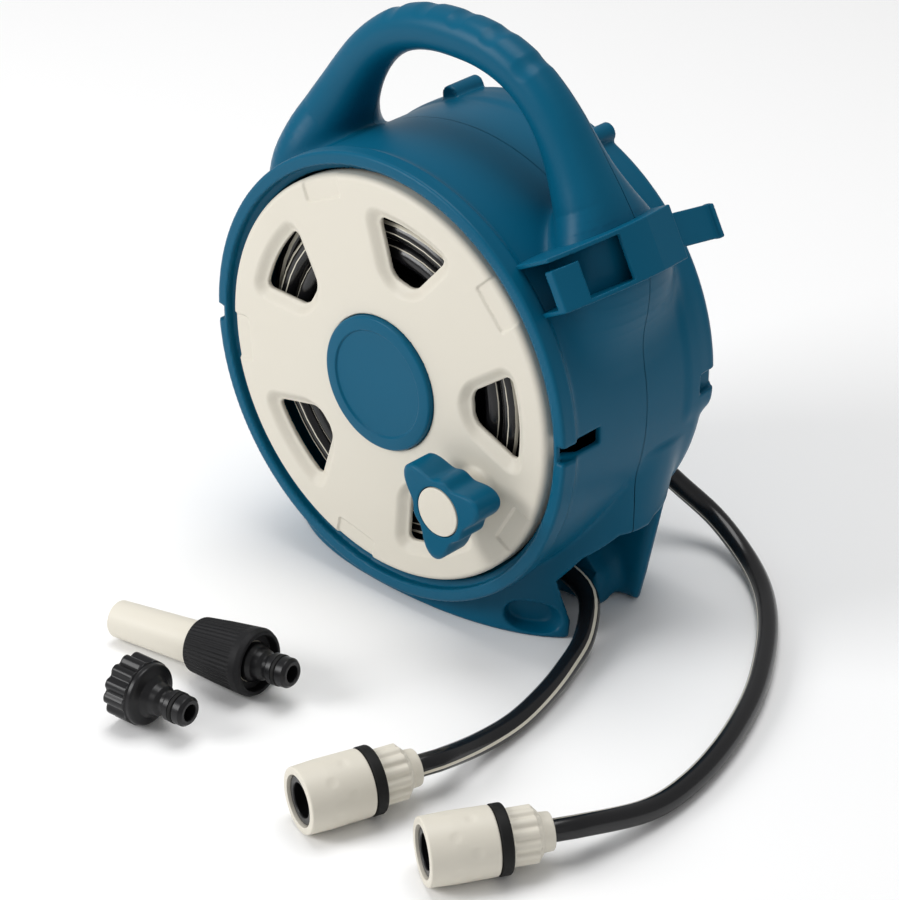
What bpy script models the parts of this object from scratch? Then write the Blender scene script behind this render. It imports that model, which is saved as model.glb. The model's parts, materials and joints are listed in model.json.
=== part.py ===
"""Compact garden hose reel: two-part casing with a carrying handle, a wound hose on a
crank-turned drum, two quick connectors, a spray nozzle and a tap adaptor.

Units are metres, +Z is up and the reel faces -Y.  The origin lies on the floor under the
reel's axis.  Pieces on the reel's axis are drawn in a frame whose x is right, y is up and
z comes out of the front of the reel.
"""
import math

import bmesh
import bpy
from mathutils import Matrix, Vector

# Clearances
TOUCH = 0.0003          # between two pieces that seat on each other
RUNNING = 0.0005        # between a turning piece and what carries it

# Casing
AXIS_HEIGHT = 0.138     # reel axis above the floor
FRONT = 0.062           # front of the ring, ahead of the axis origin
BACK = -0.066           # back of the casing
SEAM = -0.008           # parting plane between the two shells
PLATE_R = 0.1165        # reel plate, which the ring goes round
RING_GAP = 0.0023
RING_WIDTH = 0.0112
RING_STEP = 0.0025      # how far the ring stands proud of the drum
RING_DEPTH = 0.011
RING_INNER_R = PLATE_R + RING_GAP
RING_R = RING_INNER_R + RING_WIDTH
BODY_R = RING_R - RING_STEP
DRUM_WALL = 0.0037
CAVITY_R = BODY_R - DRUM_WALL
BACK_ROUND = 0.015      # rounding of the drum's back edge
RIM_R = BODY_R + 0.0008 # sharper rim over the upper part of the back edge
RIM_ROUND = 0.005
RIM_DEPTH = 0.022
RIM_LOW = -0.024        # where the rim runs out, below the axis
WALL = 0.003
REAR_BOSS_X = 0.048     # two short bosses on top of the back edge
REAR_BOSS_Y = BODY_R - 0.0070
REAR_BOSS_R = 0.0055
REAR_BOSS_LENGTH = 0.024
REAR_PROUD = 0.0008     # how far the bosses stop short of the back
HUB_R = 0.024
HUB_LENGTH = 0.0104
BASE_HALF_WIDTH = BODY_R - 0.0110
BASE_FLARE = 0.008      # how much wider the base is where it meets the drum
BASE_HALF_DEPTH = 0.0595
BASE_BACKSET = 0.0055   # base centre behind the axis origin
BASE_LEAN = 0.21        # how far back the base's centre moves for each unit of height
BASE_TOP = 0.112
PLAN_POWER = 2.2        # superellipse exponent of the base's plan

SCREW_R = 0.0016
SCREW_HEAD_R = 0.0037
SCREW_LENGTH = 0.0180   # under the head
SCREW_SEAT = SEAM - 0.004

ELBOW_SCREW_ORBIT = 0.0205
ELBOW_SCREW_ANGLES = (math.radians(30), math.radians(210))
ELBOW_SCREW_REACH = 0.0080

# Handle
HANDLE_RISE = 0.183     # bar centre above the reel axis
HANDLE_SPREAD = BODY_R - 0.0210     # how far out the legs' centres come
BAR_R = 0.0125

# Screws that hold the shells together: two in the handle's legs and two under the drum
LEG_SCREW_X = 0.7324 * HANDLE_SPREAD
LEG_SCREW_Y = HANDLE_RISE - 0.0440
LOW_SCREW_X = 0.050
LOW_SCREW_Y = -BODY_R - 0.0030
SHELL_SCREWS = ((-LEG_SCREW_X, LEG_SCREW_Y), (LEG_SCREW_X, LEG_SCREW_Y),
                (-LOW_SCREW_X, LOW_SCREW_Y), (LOW_SCREW_X, LOW_SCREW_Y))

# Holster on the right shoulder, a box drawn in a frame tilted from the horizontal
HOLSTER_TILT = math.radians(28)
HOLSTER_LOW = 0.0134
HOLSTER_HEIGHT = 0.030
HOLSTER_WALL = 0.0025
HOLSTER_ROOT = BODY_R - 0.0155
HOLSTER_REACH = BODY_R + 0.0361     # outermost point of its bowed outer wall
HOLSTER_FRONT = 0.054
HOLSTER_BACK = -0.028
POCKET_FRONT = 0.040    # the outer wall is open between these two
POCKET_BACK = 0.014
HOOK_LENGTH = 0.037
HOOK_THICKNESS = 0.003
HOOK_MARGIN = 0.004     # how much lower than the holster the hook is, above and below
HOOK_INSET = 0.0091     # its inner face from the holster's outermost point

# Hose exit in the right foot
EXIT_HEIGHT = 0.060
EXIT_FROM = BASE_HALF_WIDTH - 0.0525     # the exit's recess reaches in to here
EXIT_SLOT = 0.020
LEDGE_X = BASE_HALF_WIDTH - 0.0235       # sloping ledge behind the hose, inside the recess
LEDGE_HEIGHT = 0.020
LEDGE_FRONT = 0.010
LEDGE_BACK = 0.028

# Slots at both sides of the ring and of the back edge
RING_SLOT_R = BODY_R - 0.0013
RING_SLOT_LENGTH = 0.034
RING_SLOT_HEIGHT = 0.009
RING_SLOT_ANGLES = (math.radians(3), math.radians(170))
REAR_SLOT_R = BODY_R - 0.0019
REAR_SLOT_HEIGHT = 0.012
SLOT_PAST = 0.010       # how far a cutter reaches past the ring

# Pocket in the front of the right foot
POCKET_CENTRE = (BASE_HALF_WIDTH - 0.0302, -0.0345, 0.0117)
POCKET_HEADING = math.radians(28.7)
POCKET_HALF_WIDTH = 0.0168
POCKET_HALF_HEIGHT = 0.0090
POCKET_DEPTH = 0.0080

# Reel
PLATE_WALL = 0.003
PLATE_DOME = 0.0025     # the plate's middle stands this far ahead of its rim
CAP_R = 0.039
CAP_THICKNESS = 0.005
WINDOWS = 5
WINDOW_PHASE = math.radians(6)
WINDOW_OUTER_R = 0.096
WINDOW_INNER_R = 0.064
WINDOW_OUTER_HALF = math.radians(15.1)
WINDOW_INNER_HALF = math.radians(7.6)
WINDOW_DEPTH = 0.004
WINDOW_MARGIN = 0.008
BARREL_R = 0.0545
BARREL_WALL = 0.003
FLANGE_R = 0.112
FLANGE_FRONT = -0.0465
FLANGE_THICKNESS = 0.003
AXLE_R = 0.0096
AXLE_BORE_R = 0.005
AXLE_TAIL = -0.0745     # rear end of the axle

# Crank knob
KNOB_ORBIT = 0.081      # knob axis from the reel axis
KNOB_ANGLE = math.radians(-30)
KNOB_FRONT = 0.094
KNOB_HEIGHT = 0.019
KNOB_MEAN_R = 0.0225
KNOB_LOBE = 0.0058
KNOB_BUMP = 0.0024
KNOB_CAP_R = 0.014
SPINDLE_R = 0.005
BOSS_R = 0.013

# Hose
HOSE_R = 0.006
WIND_PITCH = 0.01255    # between neighbouring turns
SPIRAL_TURNS = 2.5
LAYER_TURNS = 6.625
POINTS_PER_TURN = 24
CORNER_EXTRA = 0.23     # turns of extra way at the corner between spiral and layer
CORNER_FADE = 0.15      # turns over which it fades out
WIND_START_ANGLE = math.radians(225)

# Quick connector, measured back from its mouth
SLEEVE_R = 0.0182
SLEEVE_LENGTH = 0.036
SLEEVE_TRAVEL = 0.0035
GRIP_RING_R = 0.0177
GRIP_RING_WIDTH = 0.0053
NUT_R = 0.0152
NUT_LENGTH = 0.0125
COLLAR_R = 0.0103
COLLAR_LENGTH = 0.007
SOCKET_R = 0.0089
SOCKET_DEPTH = 0.027

# Spray nozzle, measured back from its tip
TIP_R = 0.0105
BARREL_END_R = 0.0122
NOZZLE_BARREL = 0.058
GRIP_FRONT_R = 0.0154
GRIP_BACK_R = 0.019
GRIP_LENGTH = 0.042
STEM_R = 0.0072

# Male spigot of the nozzle and the tap adaptor
GROOVE_R = 0.0070
GROOVE = (0.0162, 0.0190)
SPIGOT_NOSE = 0.0254

# Tap adaptor
TAP_NUT_R = 0.0182
TAP_NUT_LENGTH = 0.020
TAP_BORE_R = 0.0132

# Places on the floor: mouth or tip, and heading, of each loose fitting
CONNECTOR_PLACES = (
    (0.1223, -0.2517, math.radians(250.1)),
    (0.1971, -0.2404, math.radians(238.7)),
)
NOZZLE_PLACE = (-0.0800, -0.1900, math.radians(187.0))
TAP_PLACE = (0.0000, -0.2370, math.radians(5.4))

# Routes of the two free hoses, after their starts and before their connectors
OUTLET_ROUTE = (
    (0.045, 0.004, 0.0268),
    (0.075, 0.001, 0.0240),
    (0.100, -0.0045, 0.0175),
    (0.118, -0.028, 0.0090),
    (0.129, -0.057, 0.0062),
    (0.138, -0.087, 0.0062),
    (0.143, -0.115, 0.0064),
    (0.145, -0.145, 0.0095),
)
TAIL_ROUTE = (
    (0.036, 0.083, 0.0760),
    (0.054, 0.093, 0.0540),
    (0.076, 0.102, 0.0350),
    (0.100, 0.107, 0.0200),
    (0.128, 0.099, 0.0100),
    (0.154, 0.082, 0.0065),
    (0.178, 0.057, 0.0062),
    (0.200, 0.026, 0.0062),
    (0.220, -0.010, 0.0062),
    (0.236, -0.052, 0.0062),
    (0.245, -0.092, 0.0064),
    (0.246, -0.128, 0.0085),
)

ROUND = 48              # steps of the large turned pieces
SMALL_ROUND = 20        # steps of the small ones
TINY_ROUND = 14

TEAL = (0.003, 0.115, 0.205, 1.0)
CREAM = (0.76, 0.73, 0.65, 1.0)
BLACK = (0.012, 0.012, 0.013, 1.0)
STEEL = (0.55, 0.56, 0.58, 1.0)


def collection(name):
    """New collection in the scene."""
    group = bpy.data.collections.new(name)
    bpy.context.scene.collection.children.link(group)
    return group


def material(name, colour, roughness, metallic=0.0):
    """Principled material."""
    made = bpy.data.materials.new(name)
    made.use_nodes = True
    shader = made.node_tree.nodes["Principled BSDF"]
    shader.inputs["Base Color"].default_value = colour
    shader.inputs["Roughness"].default_value = roughness
    shader.inputs["Metallic"].default_value = metallic
    return made


def frame(name, matrix, parent=None):
    """Empty that carries pieces, placed by a world or parent matrix."""
    empty = bpy.data.objects.new(name, None)
    empty.matrix_basis = matrix
    empty.parent = parent
    parts.objects.link(empty)
    return empty


def new_object(name, data, parent=None):
    """Object in the parts collection under a frame."""
    made = bpy.data.objects.new(name, data)
    made.parent = parent
    parts.objects.link(made)
    return made


def finish(piece, look):
    """Give a piece its material and smooth shading with sharp edges kept."""
    piece.data.materials.clear()
    piece.data.materials.append(look)
    if piece.type == 'MESH' and piece.data.polygons:
        piece.data.shade_smooth()
        piece.data.set_sharp_from_angle(angle=math.radians(35))
    return piece


def as_tool(piece):
    """Turn an object into a hidden cutter or guide."""
    if piece.name in parts.objects:
        parts.objects.unlink(piece)
        cutters.objects.link(piece)
    piece.hide_render = True
    piece.display_type = 'WIRE'
    return piece


def boolean(piece, operation, tool):
    """Union with, difference from or intersection with a tool object."""
    change = piece.modifiers.new(operation.title() + " " + tool.name, 'BOOLEAN')
    change.operation = operation
    change.solver = 'EXACT'
    change.object = as_tool(tool)


def add(piece, *tools):
    for tool in tools:
        boolean(piece, 'UNION', tool)


def cut(piece, *tools):
    for tool in tools:
        boolean(piece, 'DIFFERENCE', tool)


def baked(piece, name):
    """Mesh object holding the evaluated shape of another, in the same place."""
    bpy.context.view_layer.update()
    evaluated = piece.evaluated_get(bpy.context.evaluated_depsgraph_get())
    mesh = bpy.data.meshes.new_from_object(evaluated)
    shape = bmesh.new()
    shape.from_mesh(mesh)
    bmesh.ops.remove_doubles(shape, verts=shape.verts, dist=0.000002)
    shape.to_mesh(mesh)
    shape.free()
    made = new_object(name, mesh, piece.parent)
    made.matrix_world = piece.matrix_world.copy()
    return made


def rounded(corners, closed=True, steps=2):
    """Path through (x, y, radius) corners with each corner rounded by an arc."""
    path = []
    count = len(corners)
    for index, (x, y, radius) in enumerate(corners):
        corner = Vector((x, y))
        at_end = not closed and index in (0, count - 1)
        if radius == 0.0 or at_end:
            path.append((x, y))
            continue
        before = Vector(corners[index - 1][:2]) - corner
        after = Vector(corners[(index + 1) % count][:2]) - corner
        half = before.angle(after) / 2
        reach = radius / math.tan(half)
        centre_way = (before.normalized() + after.normalized()).normalized()
        centre = corner + centre_way * (radius / math.sin(half))
        first = corner + before.normalized() * reach - centre
        last = corner + after.normalized() * reach - centre
        turn = first.angle_signed(last)
        for step in range(steps + 1):
            path.append(tuple(centre + Matrix.Rotation(-turn * step / steps, 2) @ first))
    return path


def turned(name, profile, steps=ROUND, parent=None):
    """Solid of revolution about local z.  The (r, z) profile runs clockwise."""
    count = len(profile)
    edges = []
    for i in range(count):
        following = (i + 1) % count
        if profile[i][0] > 0.0 or profile[following][0] > 0.0:
            edges.append((i, following))
    mesh = bpy.data.meshes.new(name)
    mesh.from_pydata([(r, 0.0, z) for r, z in profile], edges, [])
    piece = new_object(name, mesh, parent)
    screw = piece.modifiers.new("Turn", 'SCREW')
    screw.steps = steps
    screw.render_steps = steps
    screw.use_merge_vertices = True
    screw.merge_threshold = 0.00001
    screw.use_smooth_shade = False
    return piece


def rod(name, radius, low, high, steps=TINY_ROUND, parent=None):
    """Plain cylinder along local z."""
    return turned(name, [(0.0, high), (radius, high), (radius, low), (0.0, low)], steps, parent)


def washer(name, inner, outer, low, high, steps=SMALL_ROUND, parent=None):
    """Ring of rectangular section along local z."""
    profile = [(inner, high), (outer, high), (outer, low), (inner, low)]
    return turned(name, profile, steps, parent)


def block(name, low, high, parent=None):
    """Box between two opposite corners."""
    shape = bmesh.new()
    bmesh.ops.create_cube(shape, size=1.0)
    size = Vector(high) - Vector(low)
    middle = (Vector(high) + Vector(low)) / 2
    bmesh.ops.scale(shape, vec=size, verts=shape.verts)
    bmesh.ops.translate(shape, vec=middle, verts=shape.verts)
    mesh = bpy.data.meshes.new(name)
    shape.to_mesh(mesh)
    shape.free()
    return new_object(name, mesh, parent)


def slab(name, outline, low, high, parent=None):
    """Flat outline in local x and y, solid from z = low to z = high."""
    curve = bpy.data.curves.new(name, 'CURVE')
    curve.dimensions = '2D'
    curve.fill_mode = 'BOTH'
    curve.extrude = (high - low) / 2
    spline = curve.splines.new('POLY')
    spline.points.add(len(outline) - 1)
    for point, (x, y) in zip(spline.points, outline):
        point.co = (x, y, 0.0, 1.0)
    spline.use_cyclic_u = True
    drawn = new_object(name + "_outline", curve)
    piece = baked(drawn, name)
    bpy.data.objects.remove(drawn)
    piece.data.transform(Matrix.Translation((0.0, 0.0, (low + high) / 2)))
    piece.matrix_world = Matrix.Identity(4)
    piece.parent = parent
    return piece


def loft(name, rings, parent=None):
    """Solid through rings of equal point counts, with flat ends."""
    shape = bmesh.new()
    rows = [[shape.verts.new(point) for point in ring] for ring in rings]
    count = len(rows[0])
    for row, following in zip(rows, rows[1:]):
        for i in range(count):
            j = (i + 1) % count
            shape.faces.new((row[i], row[j], following[j], following[i]))
    shape.faces.new(rows[0][::-1])
    shape.faces.new(rows[-1])
    bmesh.ops.recalc_face_normals(shape, faces=shape.faces)
    bmesh.ops.triangulate(shape, faces=[face for face in shape.faces if len(face.verts) == 4])
    mesh = bpy.data.meshes.new(name)
    shape.to_mesh(mesh)
    shape.free()
    return new_object(name, mesh, parent)


def tube(name, points, radius, resolution, parent=None):
    """Round tube along a polyline."""
    curve = bpy.data.curves.new(name, 'CURVE')
    curve.dimensions = '3D'
    curve.bevel_depth = radius
    curve.bevel_resolution = resolution
    curve.use_fill_caps = True
    spline = curve.splines.new('POLY')
    spline.points.add(len(points) - 1)
    for point, place in zip(spline.points, points):
        point.co = (*place, 1.0)
    return new_object(name, curve, parent)


def bevel(piece, width, segments=2, angle=40):
    rounding = piece.modifiers.new("Rounding", 'BEVEL')
    rounding.width = width
    rounding.segments = segments
    rounding.limit_method = 'ANGLE'
    rounding.angle_limit = math.radians(angle)


def polar(radius, angle, z=0.0):
    return (radius * math.cos(angle), radius * math.sin(angle), z)


def superellipse(half_x, half_y, power, count):
    """Points of a superellipse, counter-clockwise."""
    points = []
    for i in range(count):
        angle = 2 * math.pi * i / count
        c, s = math.cos(angle), math.sin(angle)
        x = half_x * math.copysign(abs(c) ** (2 / power), c)
        y = half_y * math.copysign(abs(s) ** (2 / power), s)
        points.append((x, y))
    return points


def smooth_route(points, spacing):
    """Evenly spaced points on a smooth curve, with the first and last stretches straight."""
    nodes = [Vector(p) for p in points]
    dense = []
    for a, b, c, d in zip(nodes, nodes[1:], nodes[2:], nodes[3:]):
        for step in range(24):
            t = step / 24
            dense.append(0.5 * (2 * b + (c - a) * t + (2 * a - 5 * b + 4 * c - d) * t * t
                                + (3 * b - a - 3 * c + d) * t ** 3))
    dense.append(nodes[-2].copy())
    lengths = [0.0]
    for a, b in zip(dense, dense[1:]):
        lengths.append(lengths[-1] + (b - a).length)
    count = max(2, round(lengths[-1] / spacing))
    route = [nodes[0]]
    index = 0
    for i in range(count + 1):
        goal = lengths[-1] * i / count
        while index < len(dense) - 2 and lengths[index + 1] < goal:
            index += 1
        span = lengths[index + 1] - lengths[index]
        route.append(dense[index].lerp(dense[index + 1], (goal - lengths[index]) / span))
    return route + [nodes[-1]]


# Casing

def drum_profile():
    """Outer outline of the casing's drum, from the front of the axis to the back."""
    edge = 0.003
    return rounded([
        (0.0, FRONT, 0.0),
        (RING_R - 0.0005, FRONT, edge * 0.6),
        (RING_R, FRONT - RING_DEPTH, 0.004),
        (BODY_R, FRONT - 2 * RING_DEPTH, 0.010),
        (BODY_R, BACK, BACK_ROUND),
        (0.0, BACK, 0.0),
    ], closed=False)


def cavity_profile():
    """Space inside the drum, open at the front, round a bored bearing hub."""
    floor = BACK + WALL
    bore = BUSH_R + TOUCH
    return rounded([
        (0.0, FRONT + 0.01, 0.0),
        (RING_INNER_R, FRONT + 0.01, 0.0),
        (RING_INNER_R, FRONT - RING_DEPTH, 0.0),
        (CAVITY_R, FRONT - RING_DEPTH - 0.005, 0.0),
        (CAVITY_R, floor, BACK_ROUND - WALL),
        (HUB_R, floor, 0.0),
        (HUB_R, floor + HUB_LENGTH, 0.0),
        (bore, floor + HUB_LENGTH, 0.0),
        (bore, BACK - 0.01, 0.0),
        (0.0, BACK - 0.01, 0.0),
    ], closed=False)


def make_rear_rim():
    """Band that sharpens the back edge above the side slots and runs out below them."""
    rim = turned("rear_rim", rounded([
        (CAVITY_R - BACK_ROUND, BACK + RIM_DEPTH, 0.0), (BODY_R - 0.0020, BACK + RIM_DEPTH, 0.0),
        (RIM_R, BACK + RIM_DEPTH - 0.0040, 0.003), (RIM_R, BACK + 0.0004, RIM_ROUND),
        (CAVITY_R - BACK_ROUND, BACK + 0.0004, 0.0),
    ]), ROUND, reel_axis)
    below = block("rim_below", (-0.2, -0.3, BACK - 0.05), (0.2, RIM_LOW, 0.05), reel_axis)
    cut(rim, below)
    return rim


def base_ring(half_width, half_depth, height, count=40):
    plan = superellipse(half_width, half_depth, PLAN_POWER, count)
    return [(x, y + BASE_BACKSET + BASE_LEAN * height, height) for x, y in plan]


def make_base(name, inset=0.0, low=0.0):
    """Foot block, flaring and leaning back up to where it runs out in the drum."""
    base = loft(name, [
        base_ring(BASE_HALF_WIDTH - inset, BASE_HALF_DEPTH - inset, low),
        base_ring(BASE_HALF_WIDTH + BASE_FLARE - inset, BASE_HALF_DEPTH - inset, BASE_TOP),
    ])
    back = -BACK - 0.0008 - inset
    cut(base, block(name + "_back", (-0.2, back, -0.1), (0.2, back + 0.2, 0.2)))
    return base


def handle_stations():
    """Half of the arch: bar centre, half thickness in the arch and half depth."""
    stations = []
    for share, drop, thicker, deeper in (
            (0.0000, 0.0000, 0.0000, 1.04), (0.1502, 0.0008, 0.0000, 1.04),
            (0.2911, 0.0040, 0.0000, 1.04), (0.4225, 0.0100, 0.0000, 1.05),
            (0.5399, 0.0190, 0.0002, 1.08), (0.6385, 0.0300, 0.0010, 1.14),
            (0.7230, 0.0430, 0.0022, 1.28), (0.7981, 0.0570, 0.0040, 1.60),
            (0.8685, 0.0710, 0.0060, 2.20), (0.9343, 0.0860, 0.0080, 2.95),
            (0.9859, 0.1030, 0.0090, 3.45), (1.0000, 0.1230, 0.0070, 3.60),
            (0.9812, 0.1450, 0.0030, 3.40)):
        stations.append((share * HANDLE_SPREAD, HANDLE_RISE - drop, BAR_R + thicker,
                         BAR_R * deeper))
    return stations


def make_handle(parent):
    """Arched bar whose legs spread fore and aft as they run down into the drum."""
    right = handle_stations()
    left = [(-x, y, a, b) for x, y, a, b in reversed(right[1:])]
    stations = left + right
    centres = [Vector((x, y, 0.0)) for x, y, _, _ in stations]
    rings = []
    for i, (_, _, thick, deep) in enumerate(stations):
        ahead = centres[min(i + 1, len(centres) - 1)]
        behind = centres[max(i - 1, 0)]
        way = (ahead - behind).normalized()
        across = Vector((-way.y, way.x, 0.0))
        section = superellipse(thick, deep, 2.15, 16)
        rings.append([centres[i] + across * u + Vector((0.0, 0.0, w)) for u, w in section])
    return loft("handle_bar", rings, parent)


def holster_frame():
    """Frame of the side holster: x outward, y up its wall, z to the front of the reel."""
    return frame("holster_frame", Matrix.Rotation(HOLSTER_TILT, 4, 'Z'), reel_axis)


def holster_plan():
    """Plan outline of the holster as (outward, forward), bowed along its outer wall."""
    reach = HOLSTER_REACH
    bow = [(reach - 0.0171, HOLSTER_FRONT), (reach - 0.0090, 0.040), (reach - 0.0036, 0.026),
           (reach - 0.0006, 0.012), (reach, -0.006), (reach - 0.0011, -0.018),
           (reach - 0.0028, HOLSTER_BACK)]
    return [(HOLSTER_ROOT, HOLSTER_BACK), (HOLSTER_ROOT, HOLSTER_FRONT)] + bow


def make_holster(tilt):
    """Solid block of the holster, later hollowed with its pocket."""
    piece = slab("holster_block", holster_plan(), HOLSTER_LOW, HOLSTER_LOW + HOLSTER_HEIGHT)
    stand_up(piece, tilt)
    return piece


def stand_up(piece, parent):
    """Turn a slab drawn as (outward, forward) so that its thickness runs up the holster."""
    piece.data.transform(Matrix(((1, 0, 0, 0), (0, 0, 1, 0), (0, 1, 0, 0), (0, 0, 0, 1))))
    piece.data.flip_normals()
    piece.parent = parent


def make_hook(tilt):
    """Flat hook that carries on behind the holster, with a turned-out end."""
    low = HOLSTER_LOW + HOOK_MARGIN
    high = HOLSTER_LOW + HOLSTER_HEIGHT - HOOK_MARGIN
    root = HOLSTER_BACK + 0.002
    tip = root - HOOK_LENGTH
    inner = HOLSTER_REACH - HOOK_INSET
    outer = inner + HOOK_THICKNESS
    lip = outer + HOOK_THICKNESS
    outline = [(inner, root), (outer, root), (outer, tip + HOOK_THICKNESS),
               (lip, tip + HOOK_THICKNESS), (lip, tip), (inner, tip)]
    piece = slab("holster_hook", outline, low, high)
    stand_up(piece, tilt)
    return piece


def make_holster_space(tilt):
    """Space inside the holster, down to the drum wall and open at the front."""
    back = HOLSTER_BACK + HOLSTER_WALL
    inner = [(u - HOLSTER_WALL, w) for u, w in holster_plan()[2:]]
    ahead = [point for point in inner if point[1] > POCKET_FRONT]
    behind = [point for point in inner if back < point[1] < POCKET_BACK]
    deep = HOLSTER_ROOT - 0.007
    beyond = HOLSTER_REACH + 0.0164
    ahead_end = HOLSTER_FRONT + 0.006
    outline = ([(deep, back), (deep, ahead_end), (inner[0][0] - 0.003, ahead_end)] + ahead
               + [(HOLSTER_REACH - 0.0066, POCKET_FRONT), (beyond, POCKET_FRONT),
                  (beyond, POCKET_BACK), (HOLSTER_REACH - 0.0034, POCKET_BACK)]
               + behind + [(HOLSTER_REACH - 0.0048, back)])
    space = slab("holster_space", outline, HOLSTER_LOW + HOLSTER_WALL,
                 HOLSTER_LOW + HOLSTER_HEIGHT - HOLSTER_WALL)
    stand_up(space, tilt)
    keep = rod("holster_drum_keep", BODY_R + 0.0012, BACK - 0.01, FRONT + 0.02, ROUND, reel_axis)
    cut(space, keep)
    return space


def make_casing():
    """Whole casing before it is parted at the seam."""
    tilt = holster_frame()
    casing = turned("casing_blank", drum_profile(), ROUND, reel_axis)
    bosses = []
    for side in (-1, 1):
        boss = rod("boss_%d" % side, REAR_BOSS_R, BACK + REAR_PROUD, BACK + REAR_BOSS_LENGTH,
                   TINY_ROUND, reel_axis)
        boss.location = (side * REAR_BOSS_X, REAR_BOSS_Y, 0.0)
        bosses.append(boss)
    hook = make_hook(tilt)
    add(casing, make_rear_rim(), make_base("base_block"), make_handle(reel_axis),
        make_holster(tilt), *bosses)
    cut(casing, make_holster_space(tilt))
    add(casing, hook)
    cavity = turned("cavity", cavity_profile(), ROUND, reel_axis)
    cut(casing, cavity, *foot_cutters(), *side_slots(), *screw_wells())
    return casing


def foot_cutters():
    """Spaces in the feet: left hollow, hose exit with its slot, and the oval pocket."""
    keep = BODY_R + 0.0005
    left = make_base("left_hollow", inset=WALL, low=-0.001)
    trim = block("left_trim", (-0.060, -0.2, -0.01), (0.3, 0.2, 0.3))
    drum = rod("left_drum_keep", keep, -0.1, 0.1, ROUND, reel_axis)
    cut(left, trim, drum)
    outline = rounded([
        (-0.0150, EXIT_HEIGHT - 0.012, 0.006), (-0.0250, 0.033, 0.004), (-0.0245, 0.026, 0.003),
        (-0.0213, 0.021, 0.004), (-0.0213, 0.009, 0.004), (-0.0250, -0.002, 0.0),
        (0.0360, -0.002, 0.0), (0.0400, 0.020, 0.004), (0.0440, EXIT_HEIGHT, 0.003),
        (0.0010, EXIT_HEIGHT, 0.006),
    ])
    recess = slab("exit_recess", outline, EXIT_FROM, RING_R + SLOT_PAST)
    recess.rotation_euler = (math.radians(90), 0.0, math.radians(90))
    drum = rod("exit_drum_keep", keep, -0.1, 0.1, ROUND, reel_axis)
    ledge = slab("exit_ledge", [
        (EXIT_FROM - 0.010, -0.010), (LEDGE_X, -0.010), (LEDGE_X, LEDGE_HEIGHT),
        (EXIT_FROM - 0.010, LEDGE_HEIGHT + LEDGE_X - EXIT_FROM + 0.010),
    ], LEDGE_FRONT, LEDGE_BACK)
    ledge.data.transform(Matrix(((1, 0, 0, 0), (0, 0, 1, 0), (0, 1, 0, 0), (0, 0, 0, 1))))
    ledge.data.flip_normals()
    cut(recess, drum, ledge)
    near, far = Vector(OUTLET_ROUTE[0]), Vector(OUTLET_ROUTE[1])
    crossing = near.lerp(far, (EXIT_FROM - near.x) / (far.x - near.x))
    slot = block("exit_slot", (0.030, crossing.y - EXIT_SLOT / 2, crossing.z - HOSE_R - TOUCH / 2),
                 (0.092, crossing.y + EXIT_SLOT / 2, 0.0370))
    rings = []
    for depth, shrink, shift in ((-0.014, 0.0, 0.0), (0.0, 0.0, 0.0), (0.004, 0.0015, -0.0010),
                                 (POCKET_DEPTH, 0.0055, -0.0040)):
        ring = superellipse(POCKET_HALF_WIDTH - shrink, POCKET_HALF_HEIGHT - shrink / 3, 2.3, 24)
        rings.append([(x + shift, y, -depth) for x, y in ring])
    oval = loft("oval_pocket", rings[::-1])
    oval.location = POCKET_CENTRE
    oval.rotation_euler = (math.radians(90), 0.0, POCKET_HEADING)
    return left, recess, slot, oval


def side_slots():
    """Slots in the ring and the rear rim, on both sides."""
    slots = []
    for side in (-1, 1):
        ring = block("ring_slot_%d" % side,
                     (RING_SLOT_R, -RING_SLOT_HEIGHT / 2, FRONT - RING_SLOT_LENGTH),
                     (RING_R + SLOT_PAST, RING_SLOT_HEIGHT / 2, FRONT - 0.0015), reel_axis)
        ring.rotation_euler = (0.0, 0.0, RING_SLOT_ANGLES[0 if side > 0 else 1])
        rear = block("rear_slot_%d" % side, (REAR_SLOT_R, -REAR_SLOT_HEIGHT / 2, BACK - SLOT_PAST),
                     (RING_R + SLOT_PAST, REAR_SLOT_HEIGHT / 2, BACK + 0.015), reel_axis)
        rear.rotation_euler = (0.0, 0.0, 0.0 if side > 0 else math.radians(180))
        slots += [ring, rear]
    return slots


def screw_wells():
    """Stepped holes from the back for the screws that hold the shells together."""
    wells = []
    hole = SCREW_R + TOUCH
    for i, (x, y) in enumerate(SHELL_SCREWS):
        well = turned("screw_well_%d" % i, [
            (0.0, SCREW_SEAT + SCREW_LENGTH), (hole, SCREW_SEAT + SCREW_LENGTH),
            (hole, SCREW_SEAT), (SCREW_HEAD_R + RUNNING, SCREW_SEAT),
            (SCREW_HEAD_R + RUNNING, BACK - 0.01), (0.0, BACK - 0.01),
        ], 16, reel_axis)
        well.location = (x, y, 0.0)
        wells.append(well)
    for i, angle in enumerate(ELBOW_SCREW_ANGLES):
        well = rod("elbow_screw_hole_%d" % i, hole, BACK - 0.01, BACK + ELBOW_SCREW_REACH, 12,
                   reel_axis)
        well.location = polar(ELBOW_SCREW_ORBIT, angle)
        wells.append(well)
    return wells


def make_shells():
    """Front and rear shells, parted at the seam."""
    casing = make_casing()
    far = 0.4
    for name, low, high in (("front_shell", -far, SEAM + TOUCH / 2),
                            ("rear_shell", SEAM - TOUCH / 2, far)):
        shell = baked(casing, name)
        cut(shell, block(name + "_parting", (-far, -far, low), (far, far, high), reel_axis))
        finish(shell, teal)
    as_tool(casing)


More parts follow.
